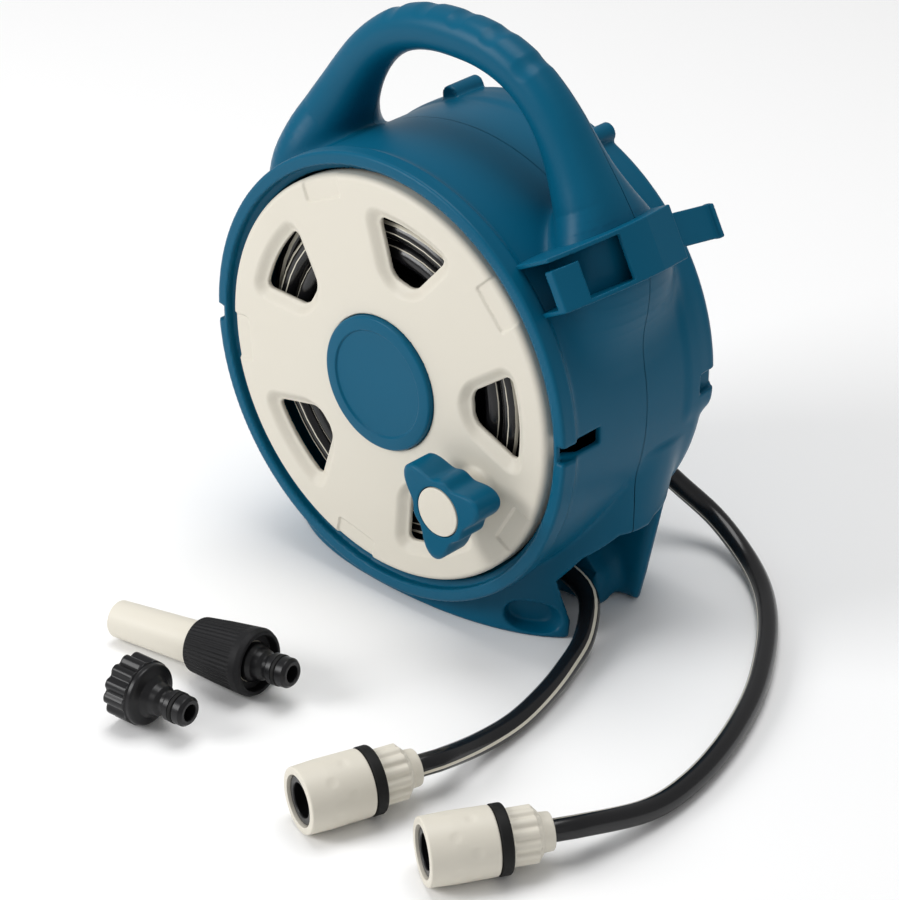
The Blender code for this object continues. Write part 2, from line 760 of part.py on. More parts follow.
def screws(name, places, head_r, shank_r, head, length, parent, towards_back=False):
    """Equal screws along local z, one object each, head to the front or to the back."""
    profile = [(0.0, 0.0), (head_r, 0.0), (head_r, -head), (shank_r, -head),
               (shank_r, -length + shank_r), (0.0, -length)]
    for i, place in enumerate(places):
        screw = turned("%s_%d" % (name, i + 1), profile, 12, parent)
        screw.location = place
        if towards_back:
            screw.rotation_euler = (math.pi, 0.0, 0.0)
        finish(screw, steel)


def make_hub():
    """Bearing bush in the rear wall, and the swivel elbow that feeds the axle."""
    hub_front = BACK + WALL + HUB_LENGTH
    flange = 0.0022
    bush = turned("rear_bush", [
        (AXLE_R + RUNNING, hub_front + TOUCH + flange),
        (BUSH_R + 0.0028, hub_front + TOUCH + flange),
        (BUSH_R + 0.0028, hub_front + TOUCH),
        (BUSH_R, hub_front + TOUCH),
        (BUSH_R, BACK),
        (AXLE_R + RUNNING, BACK),
    ], SMALL_ROUND, reel_axis)
    finish(bush, black)
    face = BACK - TOUCH
    flange_back = face - 0.0035
    seat = face - 0.0032
    floor = AXLE_TAIL - 0.0015
    body = turned("inlet_elbow", rounded([
        (AXLE_R + 0.0022, face, 0.0), (0.0250, face, 0.0), (0.0250, flange_back, 0.0),
        (0.0155, flange_back, 0.0), (0.0155, floor - 0.0125, 0.004), (0.0, floor - 0.0125, 0.0),
        (0.0, floor, 0.0), (AXLE_R + RUNNING, floor, 0.0), (AXLE_R + RUNNING, seat, 0.0),
        (AXLE_R + 0.0022, seat, 0.0),
    ], closed=False), SMALL_ROUND, reel_axis)
    spout = rod("elbow_spout", 0.0080, 0.0125, SPOUT_END, SMALL_ROUND, spout_frame)
    way = rod("elbow_way", 0.0042, 0.001, SPOUT_END + 0.002, TINY_ROUND, spout_frame)
    well = rod("elbow_well", AXLE_BORE_R, floor - 0.0105, floor + 0.001, TINY_ROUND, reel_axis)
    add(body, spout)
    cut(body, well, way)
    for i, angle in enumerate(ELBOW_SCREW_ANGLES):
        hole = rod("flange_hole_%d" % i, SCREW_R + TOUCH, face - 0.01, face + 0.01, 12, reel_axis)
        hole.location = polar(ELBOW_SCREW_ORBIT, angle)
        cut(body, hole)
    finish(body, black)
    seal = washer("inlet_seal", AXLE_R + TOUCH, AXLE_R + 0.0019, seat + TOUCH, face - 0.0003,
                  SMALL_ROUND, reel_axis)
    finish(seal, rubber)
    nut = ribbed("inlet_nut", 0.0128, 0.0008, 12, SPOUT_END - 0.0125, SPOUT_END + 0.0012,
                 spout_frame)
    bore = rod("inlet_nut_bore", 0.0080 + TOUCH, SPOUT_END - 0.02, SPOUT_END + TOUCH, SMALL_ROUND,
               spout_frame)
    cut(nut, bore, rod("inlet_nut_mouth", HOSE_R - 0.001, 0.0, SPOUT_END + 0.01, TINY_ROUND,
                       spout_frame))
    finish(nut, black)
    head = 0.0018
    places = [polar(ELBOW_SCREW_ORBIT, angle, flange_back - TOUCH - head)
              for angle in ELBOW_SCREW_ANGLES]
    screws("elbow_screw", places, 0.0030, SCREW_R, head, ELBOW_SCREW_REACH + 0.0040, reel_axis,
           True)


def ribbed(name, radius, depth, ribs, low, high, parent):
    """Short cylinder along local z with ribs and chamfered ends."""
    count = ribs * 2
    rings = []
    for z, shrink in ((low, 0.0006), (low + 0.0008, 0.0), (high - 0.0008, 0.0), (high, 0.0006)):
        ring = []
        for i in range(count):
            angle = 2 * math.pi * i / count
            reach = radius - shrink + depth * math.cos(ribs * angle)
            ring.append(polar(reach, angle, z))
        rings.append(ring)
    return loft(name, rings, parent)


def make_shell_screws():
    """Screws that hold the shells together, at the bottom of their wells."""
    head = 0.0022
    places = [(x, y, SCREW_SEAT - TOUCH - head) for x, y in SHELL_SCREWS]
    screws("shell_screw", places, SCREW_HEAD_R, SCREW_R, head, head + SCREW_LENGTH - 2 * TOUCH,
           reel_axis, True)


# Reel

def plate_face(radius):
    """Front surface of the plate at a radius: a shallow cone."""
    rim = PLATE_R - 0.006
    share = (rim - radius) / (rim - CAP_R)
    return FRONT - 0.0008 + PLATE_DOME * share


def window_outline(centre, grow):
    """Window in the plate, a rounded four-sided hole between two arcs."""
    outer = WINDOW_OUTER_R + grow
    inner = WINDOW_INNER_R - grow
    outer_half = WINDOW_OUTER_HALF + grow / WINDOW_OUTER_R
    inner_half = WINDOW_INNER_HALF + grow / WINDOW_INNER_R
    corner = 0.0045 + grow * 0.35
    corners = []
    for radius, angle, radius_round in (
            (inner, centre + inner_half, corner), (inner, centre - inner_half, corner),
            (outer, centre - outer_half, corner), (outer * 1.012, centre - outer_half / 3, 0.0),
            (outer * 1.012, centre + outer_half / 3, 0.0), (outer, centre + outer_half, corner)):
        corners.append((*polar(radius, angle)[:2], radius_round))
    return rounded(corners)


def window_solid(name, centre, levels):
    """Loft of the window outline through (growth, z) levels."""
    rings = [[(x, y, z) for x, y in window_outline(centre, grow)] for grow, z in levels]
    return loft(name, rings, reel_turn)


def make_plate():
    """Front flange of the reel, with bevelled windows, a cap seat and the knob's boss."""
    back = PLATE_WALL
    rim_back = FRONT - 0.0115
    seat = plate_face(CAP_R) - 0.0035
    band_in = BARREL_R + 0.002
    band_out = WINDOW_OUTER_R + WINDOW_MARGIN + 0.003
    band_back = FRONT - 0.0008 - WINDOW_DEPTH - 0.002
    plate = turned("reel_plate", rounded([
        (0.008, seat, 0.0), (CAP_R + 0.0004, seat, 0.0), (CAP_R + 0.0004, plate_face(CAP_R), 0.0),
        (PLATE_R, plate_face(PLATE_R), 0.0035), (PLATE_R, rim_back, 0.0),
        (PLATE_R - back, rim_back, 0.0), (PLATE_R - back - 0.002, plate_face(PLATE_R) - back, 0.0),
        (band_out, plate_face(band_out) - back, 0.0), (band_out - 0.002, band_back, 0.0),
        (band_in, band_back, 0.0), (band_in - 0.001, seat - back, 0.0),
        (0.008, seat - back, 0.0),
    ], steps=3), ROUND, reel_turn)
    face = FRONT - 0.0008
    sill = face - WINDOW_DEPTH
    centres = [WINDOW_PHASE + 2 * math.pi * i / WINDOWS for i in range(WINDOWS)]
    add(plate, rod("knob_boss", BOSS_R, plate_face(KNOB_ORBIT) - back, BOSS_TOP, SMALL_ROUND,
                   knob_post))
    add(plate, rod("boss_root", SPINDLE_R + 0.004, SPINDLE_TAIL - TOUCH, BOSS_TOP - 0.002,
                   TINY_ROUND, knob_post))
    for i, centre in enumerate(centres):
        cut(plate, window_solid("window_%d" % i, centre, (
            (0.0, sill - 0.006), (0.0, sill), (WINDOW_MARGIN, face + 0.0006),
            (WINDOW_MARGIN, face + 0.006))))
        notch = block("rim_notch_%d" % i, (PLATE_R - 0.0125, -0.014, face - 0.0010),
                      (PLATE_R + 0.01, 0.014, face + 0.01), reel_turn)
        notch.rotation_euler = (0.0, 0.0, centre + math.pi / WINDOWS)
        cut(plate, notch)
    cut(plate, rod("boss_hole", SPINDLE_R + TOUCH, SPINDLE_TAIL, BOSS_TOP + 0.01, TINY_ROUND,
                   knob_post))
    for i in range(3):
        hole = rod("plate_screw_hole_%d" % i, SCREW_R + TOUCH, seat - 0.01, seat + 0.01, 12,
                   reel_turn)
        hole.location = polar(TOWER_ORBIT, tower_angle(i))
        cut(plate, hole)
    finish(plate, cream)
    return seat


def tower_angle(index):
    return math.radians(30 + 120 * index)


def make_drum(seat):
    """Drum barrel with its rear flange, hub and the towers that the plate is screwed to."""
    top = seat - PLATE_WALL - TOUCH
    inner = BARREL_R - BARREL_WALL
    flange_back = FLANGE_FRONT - FLANGE_THICKNESS
    hub_out = AXLE_R + 0.0045
    drum = turned("reel_drum", rounded([
        (inner, top, 0.0), (BARREL_R, top, 0.0), (BARREL_R, FLANGE_FRONT, 0.0),
        (FLANGE_R, FLANGE_FRONT, 0.0), (FLANGE_R, flange_back, 0.0),
        (AXLE_R + TOUCH, flange_back, 0.0), (AXLE_R + TOUCH, flange_back + 0.022, 0.0),
        (hub_out, flange_back + 0.022, 0.0), (hub_out, FLANGE_FRONT, 0.0),
        (inner, FLANGE_FRONT, 0.0),
    ]), ROUND, reel_turn)
    holes = []
    for i in range(3):
        place = polar(TOWER_ORBIT, tower_angle(i))
        tower = rod("tower_%d" % i, 0.0050, top - 0.028, top, 12, reel_turn)
        tower.location = place
        rib = block("tower_rib_%d" % i, (TOWER_ORBIT, -0.0012, top - 0.026),
                    (BARREL_R - 0.001, 0.0012, top - 0.001), reel_turn)
        rib.rotation_euler = (0.0, 0.0, tower_angle(i))
        add(drum, tower, rib)
        hole = rod("tower_hole_%d" % i, SCREW_R + TOUCH, top - 0.016, top + 0.01, 12, reel_turn)
        hole.location = place
        holes.append(hole)
    port = rod("hose_port", HOSE_R + 0.0012, 0.040, 0.070, 16, port_frame)
    cut(drum, *holes, port)
    finish(drum, black)
    head = 0.0017
    places = [polar(TOWER_ORBIT, tower_angle(i), seat + head + TOUCH) for i in range(3)]
    screws("drum_screw", places, 0.0032, SCREW_R, head, 0.0150, reel_turn)


def make_cap(seat):
    """Round centre cap with a raised rim round its shallow middle."""
    base = seat + 0.0022
    top = base + CAP_THICKNESS
    middle_r = CAP_R * 0.80
    cap = turned("centre_cap", rounded([
        (0.0, top - 0.0006, 0.0), (middle_r, top - 0.0006, 0.0), (middle_r + 0.0004, top, 0.0),
        (CAP_R, top, 0.0016),
        (CAP_R, seat + TOUCH, 0.0), (CAP_R - 0.003, seat + TOUCH, 0.0), (CAP_R - 0.003, base, 0.0),
        (0.0, base, 0.0),
    ], closed=False), ROUND, reel_turn)
    finish(cap, teal)


def make_axle(port_z):
    """Hollow axle that brings the water in, and the elbow that hands it to the hose."""
    top = port_z + 0.010
    axle = turned("water_axle", [
        (0.0, top), (AXLE_R, top), (AXLE_R, AXLE_TAIL), (AXLE_BORE_R, AXLE_TAIL),
        (AXLE_BORE_R, port_z), (0.0, port_z),
    ], SMALL_ROUND, reel_turn)
    cut(axle, rod("axle_port", 0.0035, 0.0, 0.02, 16, port_frame))
    finish(axle, black)
    straight_end = WIND_START_R - ELBOW_BEND
    points = [(0.0, 0.0, AXLE_R + 2 * TOUCH), (0.0, 0.0, straight_end)]
    for step in range(1, 5):
        angle = math.radians(90) * step / 4
        points.append((ELBOW_BEND * (1.0 - math.cos(angle)), 0.0,
                       straight_end + ELBOW_BEND * math.sin(angle)))
    points.append((ELBOW_END, 0.0, WIND_START_R))
    stem = tube("drum_elbow", [port_matrix @ Vector(p) for p in points], 0.0054, 2, reel_turn)
    finish(stem, black)


def spread(turns):
    """Way from the corner between spiral and layer, opened out near the corner.

    Turns half before and half after the corner lie diagonally, so the pitch widens there.
    """
    return WIND_PITCH * (turns + CORNER_EXTRA * (1.0 - math.exp(-turns / CORNER_FADE)))


def make_winding(lead):
    """One unbroken hose: out in a flat spiral behind the plate, then back in a layer."""
    points = []
    for along in (lead, lead + HOSE_R, lead + 2 * HOSE_R):
        points.append(port_matrix @ Vector((along, 0.0, WIND_START_R)))
    first = points[-1]
    layer_r = math.hypot(first.x, first.y) + spread(SPIRAL_TURNS)
    turns = SPIRAL_TURNS + LAYER_TURNS
    for i in range(1, round(turns * POINTS_PER_TURN) + 1):
        t = i / POINTS_PER_TURN
        angle = WIND_START_ANGLE + 2 * math.pi * t
        inward = spread(SPIRAL_TURNS - t) if t < SPIRAL_TURNS else 0.0
        aft = spread(t - SPIRAL_TURNS) if t > SPIRAL_TURNS else 0.0
        points.append(Vector(polar(layer_r - inward, angle, first.z - aft)))
    last = points[-1]
    way = Vector(polar(1.0, angle + math.pi / 2))
    points += [last + way * HOSE_R, last + way * 2 * HOSE_R]
    finish(tube("wound_hose", points, HOSE_R, 1, reel_turn), hose_black)
    print("least gap between turns of the wound hose: %.2f mm" % (least_gap(points) * 1000))
    return layer_r


def least_gap(points):
    """Smallest clear distance between turns, from the centre points and midpoints."""
    dense = []
    for a, b in zip(points, points[1:]):
        for share in (0.0, 0.25, 0.5, 0.75):
            dense.append(a.lerp(b, share))
    least = 1.0
    apart = POINTS_PER_TURN * 2
    for i, p in enumerate(dense):
        for q in dense[i + apart:i + apart + POINTS_PER_TURN * 4]:
            least = min(least, (p - q).length)
    return least - 2 * HOSE_R


def make_core(layer_r):
    """Inner turns of the hose, which nothing shows, as one plain ring."""
    front = WIND_FRONT - HOSE_R - TOUCH
    inside_layer = layer_r * math.cos(math.pi / POINTS_PER_TURN) - HOSE_R - TOUCH
    core = washer("hose_core", BARREL_R + TOUCH, inside_layer, FLANGE_FRONT + TOUCH, front,
                  ROUND, reel_turn)
    finish(core, hose_black)


def make_knob():
    """Lobed crank knob that turns on its spindle, with a cap over the spindle's head."""
    low = KNOB_FRONT - KNOB_HEIGHT
    count = 36
    outline = []
    for i in range(count):
        angle = 2 * math.pi * i / count
        lobe = 3 * (angle - math.radians(23))
        reach = KNOB_MEAN_R + KNOB_LOBE * math.cos(lobe) + KNOB_BUMP * math.cos(2 * lobe)
        outline.append(polar(reach, angle)[:2])
    knob = slab("crank_knob", outline, low, KNOB_FRONT, knob_turn)
    bevel(knob, 0.0018, 1)
    head = KNOB_FRONT - 0.0078
    hollow = turned("knob_hollow", [
        (0.0, KNOB_FRONT + 0.001), (KNOB_CAP_R + TOUCH, KNOB_FRONT + 0.001),
        (KNOB_CAP_R + TOUCH, KNOB_FRONT - 0.0030), (HEAD_R + RUNNING, KNOB_FRONT - 0.0030),
        (HEAD_R + RUNNING, head), (SPINDLE_R + RUNNING, head),
        (SPINDLE_R + RUNNING, low - 0.001), (0.0, low - 0.001),
    ], SMALL_ROUND, knob_turn)
    cut(knob, hollow)
    finish(knob, teal)
    cap = turned("knob_cap", rounded([
        (0.0, KNOB_FRONT, 0.0), (KNOB_CAP_R, KNOB_FRONT, 0.0007),
        (KNOB_CAP_R, KNOB_FRONT - 0.0030 + TOUCH, 0.0), (0.0, KNOB_FRONT - 0.0030 + TOUCH, 0.0),
    ], closed=False), SMALL_ROUND, knob_turn)
    finish(cap, cream)
    spindle = turned("knob_spindle", [
        (0.0, head + 0.0042), (HEAD_R, head + 0.0042), (HEAD_R, head + RUNNING),
        (SPINDLE_R, head + RUNNING), (SPINDLE_R, SPINDLE_TAIL + TOUCH), (0.0, SPINDLE_TAIL + TOUCH),
    ], TINY_ROUND, knob_post)
    finish(spindle, steel)


# Loose fittings

def fitting_frame(name, x, y, height, heading, tilt=0.0):
    """Frame whose z runs along a fitting that lies on the floor."""
    place = Matrix.Translation((x, y, height))
    turn = Matrix.Rotation(heading, 4, 'Z')
    lay = Matrix.Rotation(math.radians(90) + tilt, 4, 'Y')
    return frame(name, place @ turn @ lay)


def make_connector(index, place):
    """Hose-end quick connector: socket with seal, release sleeve with grip ring, and nut."""
    x, y, heading = place
    axis = fitting_frame("connector_%d_frame" % index, x, y, SLEEVE_R + TOUCH, heading)
    slide = frame("sleeve_%d_slide" % index, Matrix.Identity(4), axis)
    tag = "_%d" % index
    bore = SLEEVE_R - 0.0028
    lip = bore - 0.0016
    ring_seat = GRIP_RING_R - 0.0018
    neck = SLEEVE_LENGTH + GRIP_RING_WIDTH + 0.0014
    sleeve = turned("connector_sleeve" + tag, rounded([
        (lip, 0.0, 0.0), (SLEEVE_R - 0.0004, 0.0, 0.0010), (SLEEVE_R, -0.014, 0.0),
        (SLEEVE_R - 0.0002, -SLEEVE_LENGTH, 0.0), (ring_seat, -SLEEVE_LENGTH, 0.0),
        (ring_seat, -neck, 0.0), (bore, -neck, 0.0), (bore, -0.0045, 0.0), (lip, -0.0035, 0.0),
    ]), SMALL_ROUND, slide)
    finish(sleeve, cream)
    ring_front = SLEEVE_LENGTH + TOUCH
    grip = turned("connector_ring" + tag, rounded([
        (ring_seat + TOUCH, -ring_front, 0.0), (GRIP_RING_R, -ring_front, 0.0014),
        (GRIP_RING_R, -ring_front - GRIP_RING_WIDTH, 0.0014),
        (ring_seat + TOUCH, -ring_front - GRIP_RING_WIDTH, 0.0),
    ], steps=1), SMALL_ROUND, slide)
    finish(grip, rubber)
    nut_front = neck + SLEEVE_TRAVEL + TOUCH
    nut_back = nut_front + NUT_LENGTH
    end = nut_back + COLLAR_LENGTH
    guide = bore - RUNNING
    thread_r = COLLAR_R - 0.0012
    stub_end = -nut_front - NUT_LENGTH * 0.7
    body = turned("connector_body" + tag, [
        (SOCKET_R, -0.0015), (0.0130, -0.0015), (0.0130, -0.0090), (guide, -0.0090),
        (guide, -nut_front + TOUCH), (thread_r, -nut_front + TOUCH), (thread_r, stub_end),
        (SOCKET_R / 2, stub_end), (SOCKET_R / 2, -SOCKET_DEPTH), (SOCKET_R, -SOCKET_DEPTH),
    ], SMALL_ROUND, axis)
    finish(body, black)
    seal = washer("connector_seal" + tag, SOCKET_R - 0.0030, SOCKET_R - TOUCH,
                  -SOCKET_DEPTH + TOUCH, -SOCKET_DEPTH + 0.0027, TINY_ROUND, axis)
    finish(seal, rubber)
    nut = ribbed("connector_nut" + tag, NUT_R, 0.0005, 14, -nut_back, -nut_front, axis)
    add(nut, rod("nut_collar" + tag, COLLAR_R, -end, -nut_back + 0.001, SMALL_ROUND, axis))
    bore_tool = turned("nut_bore" + tag, [
        (0.0, -nut_front + 0.01), (thread_r + TOUCH, -nut_front + 0.01),
        (thread_r + TOUCH, stub_end - TOUCH), (HOSE_R - 0.001, stub_end - TOUCH),
        (HOSE_R - 0.001, -end - 0.01), (0.0, -end - 0.01),
    ], TINY_ROUND, axis)
    cut(nut, bore_tool)
    finish(nut, cream)
    return axis.matrix_basis, end


def spigot_profile():
    """Half outline of a male hose spigot, from its foot at z = 0 to its nose."""
    return [
        (0.0095, 0.0025), (0.0084, 0.0070), (0.0066, 0.0090), (0.0066, 0.0115),
        (0.0086, 0.0132), (0.0086, GROOVE[0]), (GROOVE_R, GROOVE[0]), (GROOVE_R, GROOVE[1]),
        (0.0082, GROOVE[1]), (0.0082, SPIGOT_NOSE - 0.0016), (0.0070, SPIGOT_NOSE),
    ]


def spigot_seal(name, parent):
    """O-ring in the spigot's groove."""
    low, high = GROOVE[0] + TOUCH / 2, GROOVE[1] - TOUCH / 2
    middle = (low + high) / 2
    inner = GROOVE_R + TOUCH
    profile = [(inner, middle), (inner + 0.0006, high), (inner + 0.0012, high),
               (inner + 0.0017, middle), (inner + 0.0012, low), (inner + 0.0006, low)]
    finish(turned(name, profile, TINY_ROUND, parent), rubber)


def make_nozzle():
    """Twist nozzle: cream barrel and ribbed grip turn on a black stem with a spigot."""
    x, y, heading = NOZZLE_PLACE
    whole = NOZZLE_BARREL + GRIP_LENGTH
    tilt = -math.asin((GRIP_BACK_R - TIP_R) / whole)
    height = TIP_R * math.cos(tilt) + 2 * TOUCH
    axis = fitting_frame("nozzle_frame", x, y, height, heading, -tilt)
    twist = frame("nozzle_twist_frame", Matrix.Identity(4), axis)
    bore = STEM_R + RUNNING
    grip_seat = BARREL_END_R - 0.0004
    inside = whole - 0.006
    barrel = turned("nozzle_barrel", rounded([
        (0.0032, 0.0, 0.0), (TIP_R, 0.0, 0.0016), (BARREL_END_R, -NOZZLE_BARREL, 0.0),
        (grip_seat, -NOZZLE_BARREL, 0.0), (grip_seat, -inside, 0.0), (bore, -inside, 0.0),
        (bore, -0.016, 0.0), (0.0032, -0.010, 0.0),
    ]), SMALL_ROUND, twist)
    finish(barrel, cream)
    grip = turned("nozzle_grip", rounded([
        (grip_seat + TOUCH, -NOZZLE_BARREL - TOUCH, 0.0),
        (GRIP_FRONT_R, -NOZZLE_BARREL - TOUCH, 0.0018), (GRIP_BACK_R, -whole + 0.002, 0.0015),
        (GRIP_BACK_R - 0.0015, -whole, 0.0), (0.0150, -whole, 0.0), (0.0150, -inside - 0.0006, 0.0),
        (grip_seat + TOUCH, -inside - 0.0006, 0.0),
    ]), SMALL_ROUND, twist)
    finish(grip, grip_black)
    root = whole - 0.003
    outline = [(r, -root - z) for r, z in spigot_profile()]
    stem = turned("nozzle_stem", [
        (0.0, -0.018), (0.0025, -0.018), (STEM_R - 0.0015, -0.022), (STEM_R - 0.0015, -0.030),
        (STEM_R, -0.031), (STEM_R, -inside - 0.0006), (0.0110, -inside - 0.0006),
        (0.0110, -root),
    ] + outline + [(0.0046, outline[-1][1]), (0.0046, -0.060), (0.0, -0.056)],
        TINY_ROUND, axis)
    finish(stem, black)
    spigot = frame("nozzle_spigot_frame",
                   Matrix.Translation((0.0, 0.0, -root)) @ Matrix.Rotation(math.pi, 4, 'X'), axis)
    spigot_seal("nozzle_seal", spigot)


def make_tap_adaptor():
    """Threaded tap adaptor with its flat washer and the spigot's seal."""
    x, y, heading = TAP_PLACE
    axis = fitting_frame("tap_frame", x, y, TAP_NUT_R + 0.0005, heading)
    nut = ribbed("tap_adaptor", TAP_NUT_R, 0.0005, 12, -TAP_NUT_LENGTH, 0.0, axis)
    outline = spigot_profile()
    spigot = turned("tap_spigot", [(0.0, outline[-1][1])] + outline[::-1]
                    + [(0.0110, 0.0015), (0.0110, -0.003), (0.0, -0.003)], TINY_ROUND, axis)
    add(nut, spigot)
    socket = rod("tap_socket", TAP_BORE_R, -TAP_NUT_LENGTH - 0.001, -0.0035, SMALL_ROUND, axis)
    way = rod("tap_way", 0.0046, -0.01, 0.05, TINY_ROUND, axis)
    cut(nut, socket, way)
    finish(nut, black)
    seat = washer("tap_washer", 0.0062, TAP_BORE_R - TOUCH, -0.0035 - TOUCH - 0.0025,
                  -0.0035 - TOUCH, TINY_ROUND, axis)
    finish(seat, rubber)
    spigot_seal("tap_seal", axis)


def make_hoses(ends):
    """The two free stretches of hose, from the casing and the inlet to their connectors."""
    start = Vector((0.012, OUTLET_ROUTE[0][1], AXIS_HEIGHT - OUTLET_CENTRE_R))
    routes = []
    outlet = [start, start + Vector((2 * HOSE_R, 0.0, 0.0))] + [Vector(p) for p in OUTLET_ROUTE]
    routes.append(("outlet_hose", outlet))
    mouth = spout_matrix @ Vector((0.0, 0.0, SPOUT_END + 0.0012 + TOUCH))
    away = spout_matrix @ Vector((0.0, 0.0, SPOUT_END + 0.0012 + TOUCH + 2 * HOSE_R))
    routes.append(("tail_hose", [mouth, away] + [Vector(p) for p in TAIL_ROUTE]))
    for (name, route), (matrix, end) in zip(routes, ends):
        route += [matrix @ Vector((0.0, 0.0, -end - TOUCH - 2 * HOSE_R)),
                  matrix @ Vector((0.0, 0.0, -end - TOUCH))]
        points = smooth_route(route, 4 * HOSE_R)
        hose = tube(name, points, HOSE_R, 2)
        finish(hose, hose_black)


for item in list(bpy.data.objects):
    bpy.data.objects.remove(item)
parts = collection("hose_reel")
cutters = collection("cutters")

teal = material("teal_plastic", TEAL, 0.35)
cream = material("cream_plastic", CREAM, 0.45)
black = material("black_plastic", BLACK, 0.35)
grip_black = material("grip_rubber", BLACK, 0.6)
rubber = material("seal_rubber", BLACK, 0.7)
hose_black = material("hose_pvc", BLACK, 0.25)
steel = material("steel", STEEL, 0.3, 1.0)

BUSH_R = AXLE_R + RUNNING + 0.0030
TOWER_ORBIT = 0.031
HEAD_R = 0.0078
BOSS_TOP = KNOB_FRONT - KNOB_HEIGHT - RUNNING
SPINDLE_TAIL = plate_face(KNOB_ORBIT) - 0.006
WIND_START_R = BARREL_R + HOSE_R + 0.0006
ELBOW_BEND = 0.0070
ELBOW_END = ELBOW_BEND + 0.002
HOSE_LEAD = ELBOW_END + TOUCH
PORT_ANGLE = WIND_START_ANGLE - math.atan2(HOSE_LEAD + 2 * HOSE_R, WIND_START_R)
WIND_FRONT = plate_face(WINDOW_INNER_R) - PLATE_WALL - WINDOW_DEPTH - HOSE_R - 0.0030
SPOUT_END = 0.038
SPOUT_ANGLE = math.radians(-60)

reel_axis = frame("reel_axis", Matrix.Translation((0.0, 0.0, AXIS_HEIGHT))
                  @ Matrix.Rotation(math.radians(90), 4, 'X'))
reel_turn = frame("reel_turn", Matrix.Identity(4), reel_axis)
knob_post = frame("knob_post", Matrix.Translation(polar(KNOB_ORBIT, KNOB_ANGLE)), reel_turn)
knob_turn = frame("knob_turn", Matrix.Identity(4), knob_post)
port_matrix = (Matrix.Translation((0.0, 0.0, WIND_FRONT)) @ Matrix.Rotation(PORT_ANGLE, 4, 'Z')
               @ Matrix(((0, 0, 1, 0), (1, 0, 0, 0), (0, 1, 0, 0), (0, 0, 0, 1))))
port_frame = frame("port_frame", port_matrix, reel_turn)
spout_local = (Matrix.Translation((0.0, 0.0, AXLE_TAIL - 0.0075))
               @ Matrix.Rotation(SPOUT_ANGLE, 4, 'Z') @ Matrix.Rotation(math.pi / 2, 4, 'Y'))
spout_frame = frame("spout_frame", spout_local, reel_axis)
spout_matrix = reel_axis.matrix_basis @ spout_local

make_shells()
make_shell_screws()
make_hub()
plate_seat = make_plate()
make_drum(plate_seat)
make_cap(plate_seat)
make_axle(WIND_FRONT)
layer_radius = make_winding(HOSE_LEAD)
OUTLET_CENTRE_R = layer_radius + 2 * HOSE_R + 0.0012
make_core(layer_radius)
make_knob()
hose_ends = [make_connector(i + 1, place) for i, place in enumerate(CONNECTOR_PLACES)]
make_nozzle()
make_tap_adaptor()
make_hoses(hose_ends)
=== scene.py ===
"""Looks of the compact garden hose reel: surfaces, materials, hoses, floor, light, camera.

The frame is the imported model, in metres, +Z up, with the reel facing -Y.  Curved mouldings
are fields, negative inside, worked out in millimetres and meshed by solid().
"""
import json
import math

import bmesh
import bpy
import numpy as np
from mathutils import Matrix, Vector


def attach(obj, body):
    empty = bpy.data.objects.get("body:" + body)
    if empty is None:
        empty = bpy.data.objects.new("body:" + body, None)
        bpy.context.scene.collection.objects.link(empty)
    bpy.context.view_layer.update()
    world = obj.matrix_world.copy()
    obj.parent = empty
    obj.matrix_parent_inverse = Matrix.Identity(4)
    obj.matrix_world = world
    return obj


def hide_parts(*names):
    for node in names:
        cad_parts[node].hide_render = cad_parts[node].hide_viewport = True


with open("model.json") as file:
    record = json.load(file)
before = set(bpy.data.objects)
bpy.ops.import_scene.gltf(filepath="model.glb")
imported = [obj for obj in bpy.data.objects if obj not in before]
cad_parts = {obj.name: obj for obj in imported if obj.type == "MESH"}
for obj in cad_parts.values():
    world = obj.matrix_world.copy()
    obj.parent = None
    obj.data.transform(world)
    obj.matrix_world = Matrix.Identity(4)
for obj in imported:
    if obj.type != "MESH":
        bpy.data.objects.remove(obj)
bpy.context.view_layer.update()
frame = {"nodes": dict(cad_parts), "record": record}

MM = 0.001

# Casing, in millimetres, with h measured up from the reel's axis
AXIS_HEIGHT = 138.0
FRONT = -62.0
BACK = 66.0
REAR_STEP = 0.8
SEAM = 8.0
SEAM_GAP = 0.4
WALL = 3.0
RING_R = 130.0
RING_FACE_R = 122.5
RING_INNER_R = 118.8
RING_DEPTH = 11.0
RING_FACE_DEPTH = 6.5
BODY_R = 127.5
CAVITY_R = 123.6
BACK_ROUND = 15.0

# Raised band round the back, which runs out above the base
BAND_R = 128.3
BAND_INNER_R = 100.0
BAND_WIDTH = 26.0
BAND_LOW = -24.0

# Base
BASE_HALF_WIDTH = 116.5
BASE_FLARE = 9.3
BASE_HALF_DEPTH = 59.5
BASE_MIDDLE_Y = 5.5
BASE_LEAN = 0.21
BASE_TOP = 110.0
PLAN_POWER = 2.2
HOLLOW_RIGHT = -60.0

# Handle, with its finger dips as (x, h)
HANDLE_RISE = 183.0
BAR_R = 12.5
BAR_POWER = 2.15
FORE_SHRINK = 0.19
FINGER_DIPS = ((-46.0, 186.0), (-23.0, 194.5), (2.0, 195.5), (27.0, 192.0), (51.0, 180.0))
DIP_R = math.sqrt(42.0)
DIP_DEPTH = 1.0

# Bearing hub, screw wells as (x, h) and bosses in the back
HUB_R = 24.0
HUB_LENGTH = 10.4
BUSH_HOLE_R = 13.4
BUSH_HOLE_FRONT = 40.0
SCREW_WELLS = ((-78.0, 139.0), (78.0, 139.0), (-50.0, -130.5), (50.0, -130.5))
WELL_R = 4.2
WELL_FLOOR = 12.0
BOSS_X = 48.0
BOSS_H = 120.5
BOSS_R = 5.5
BOSS_LENGTH = 24.0

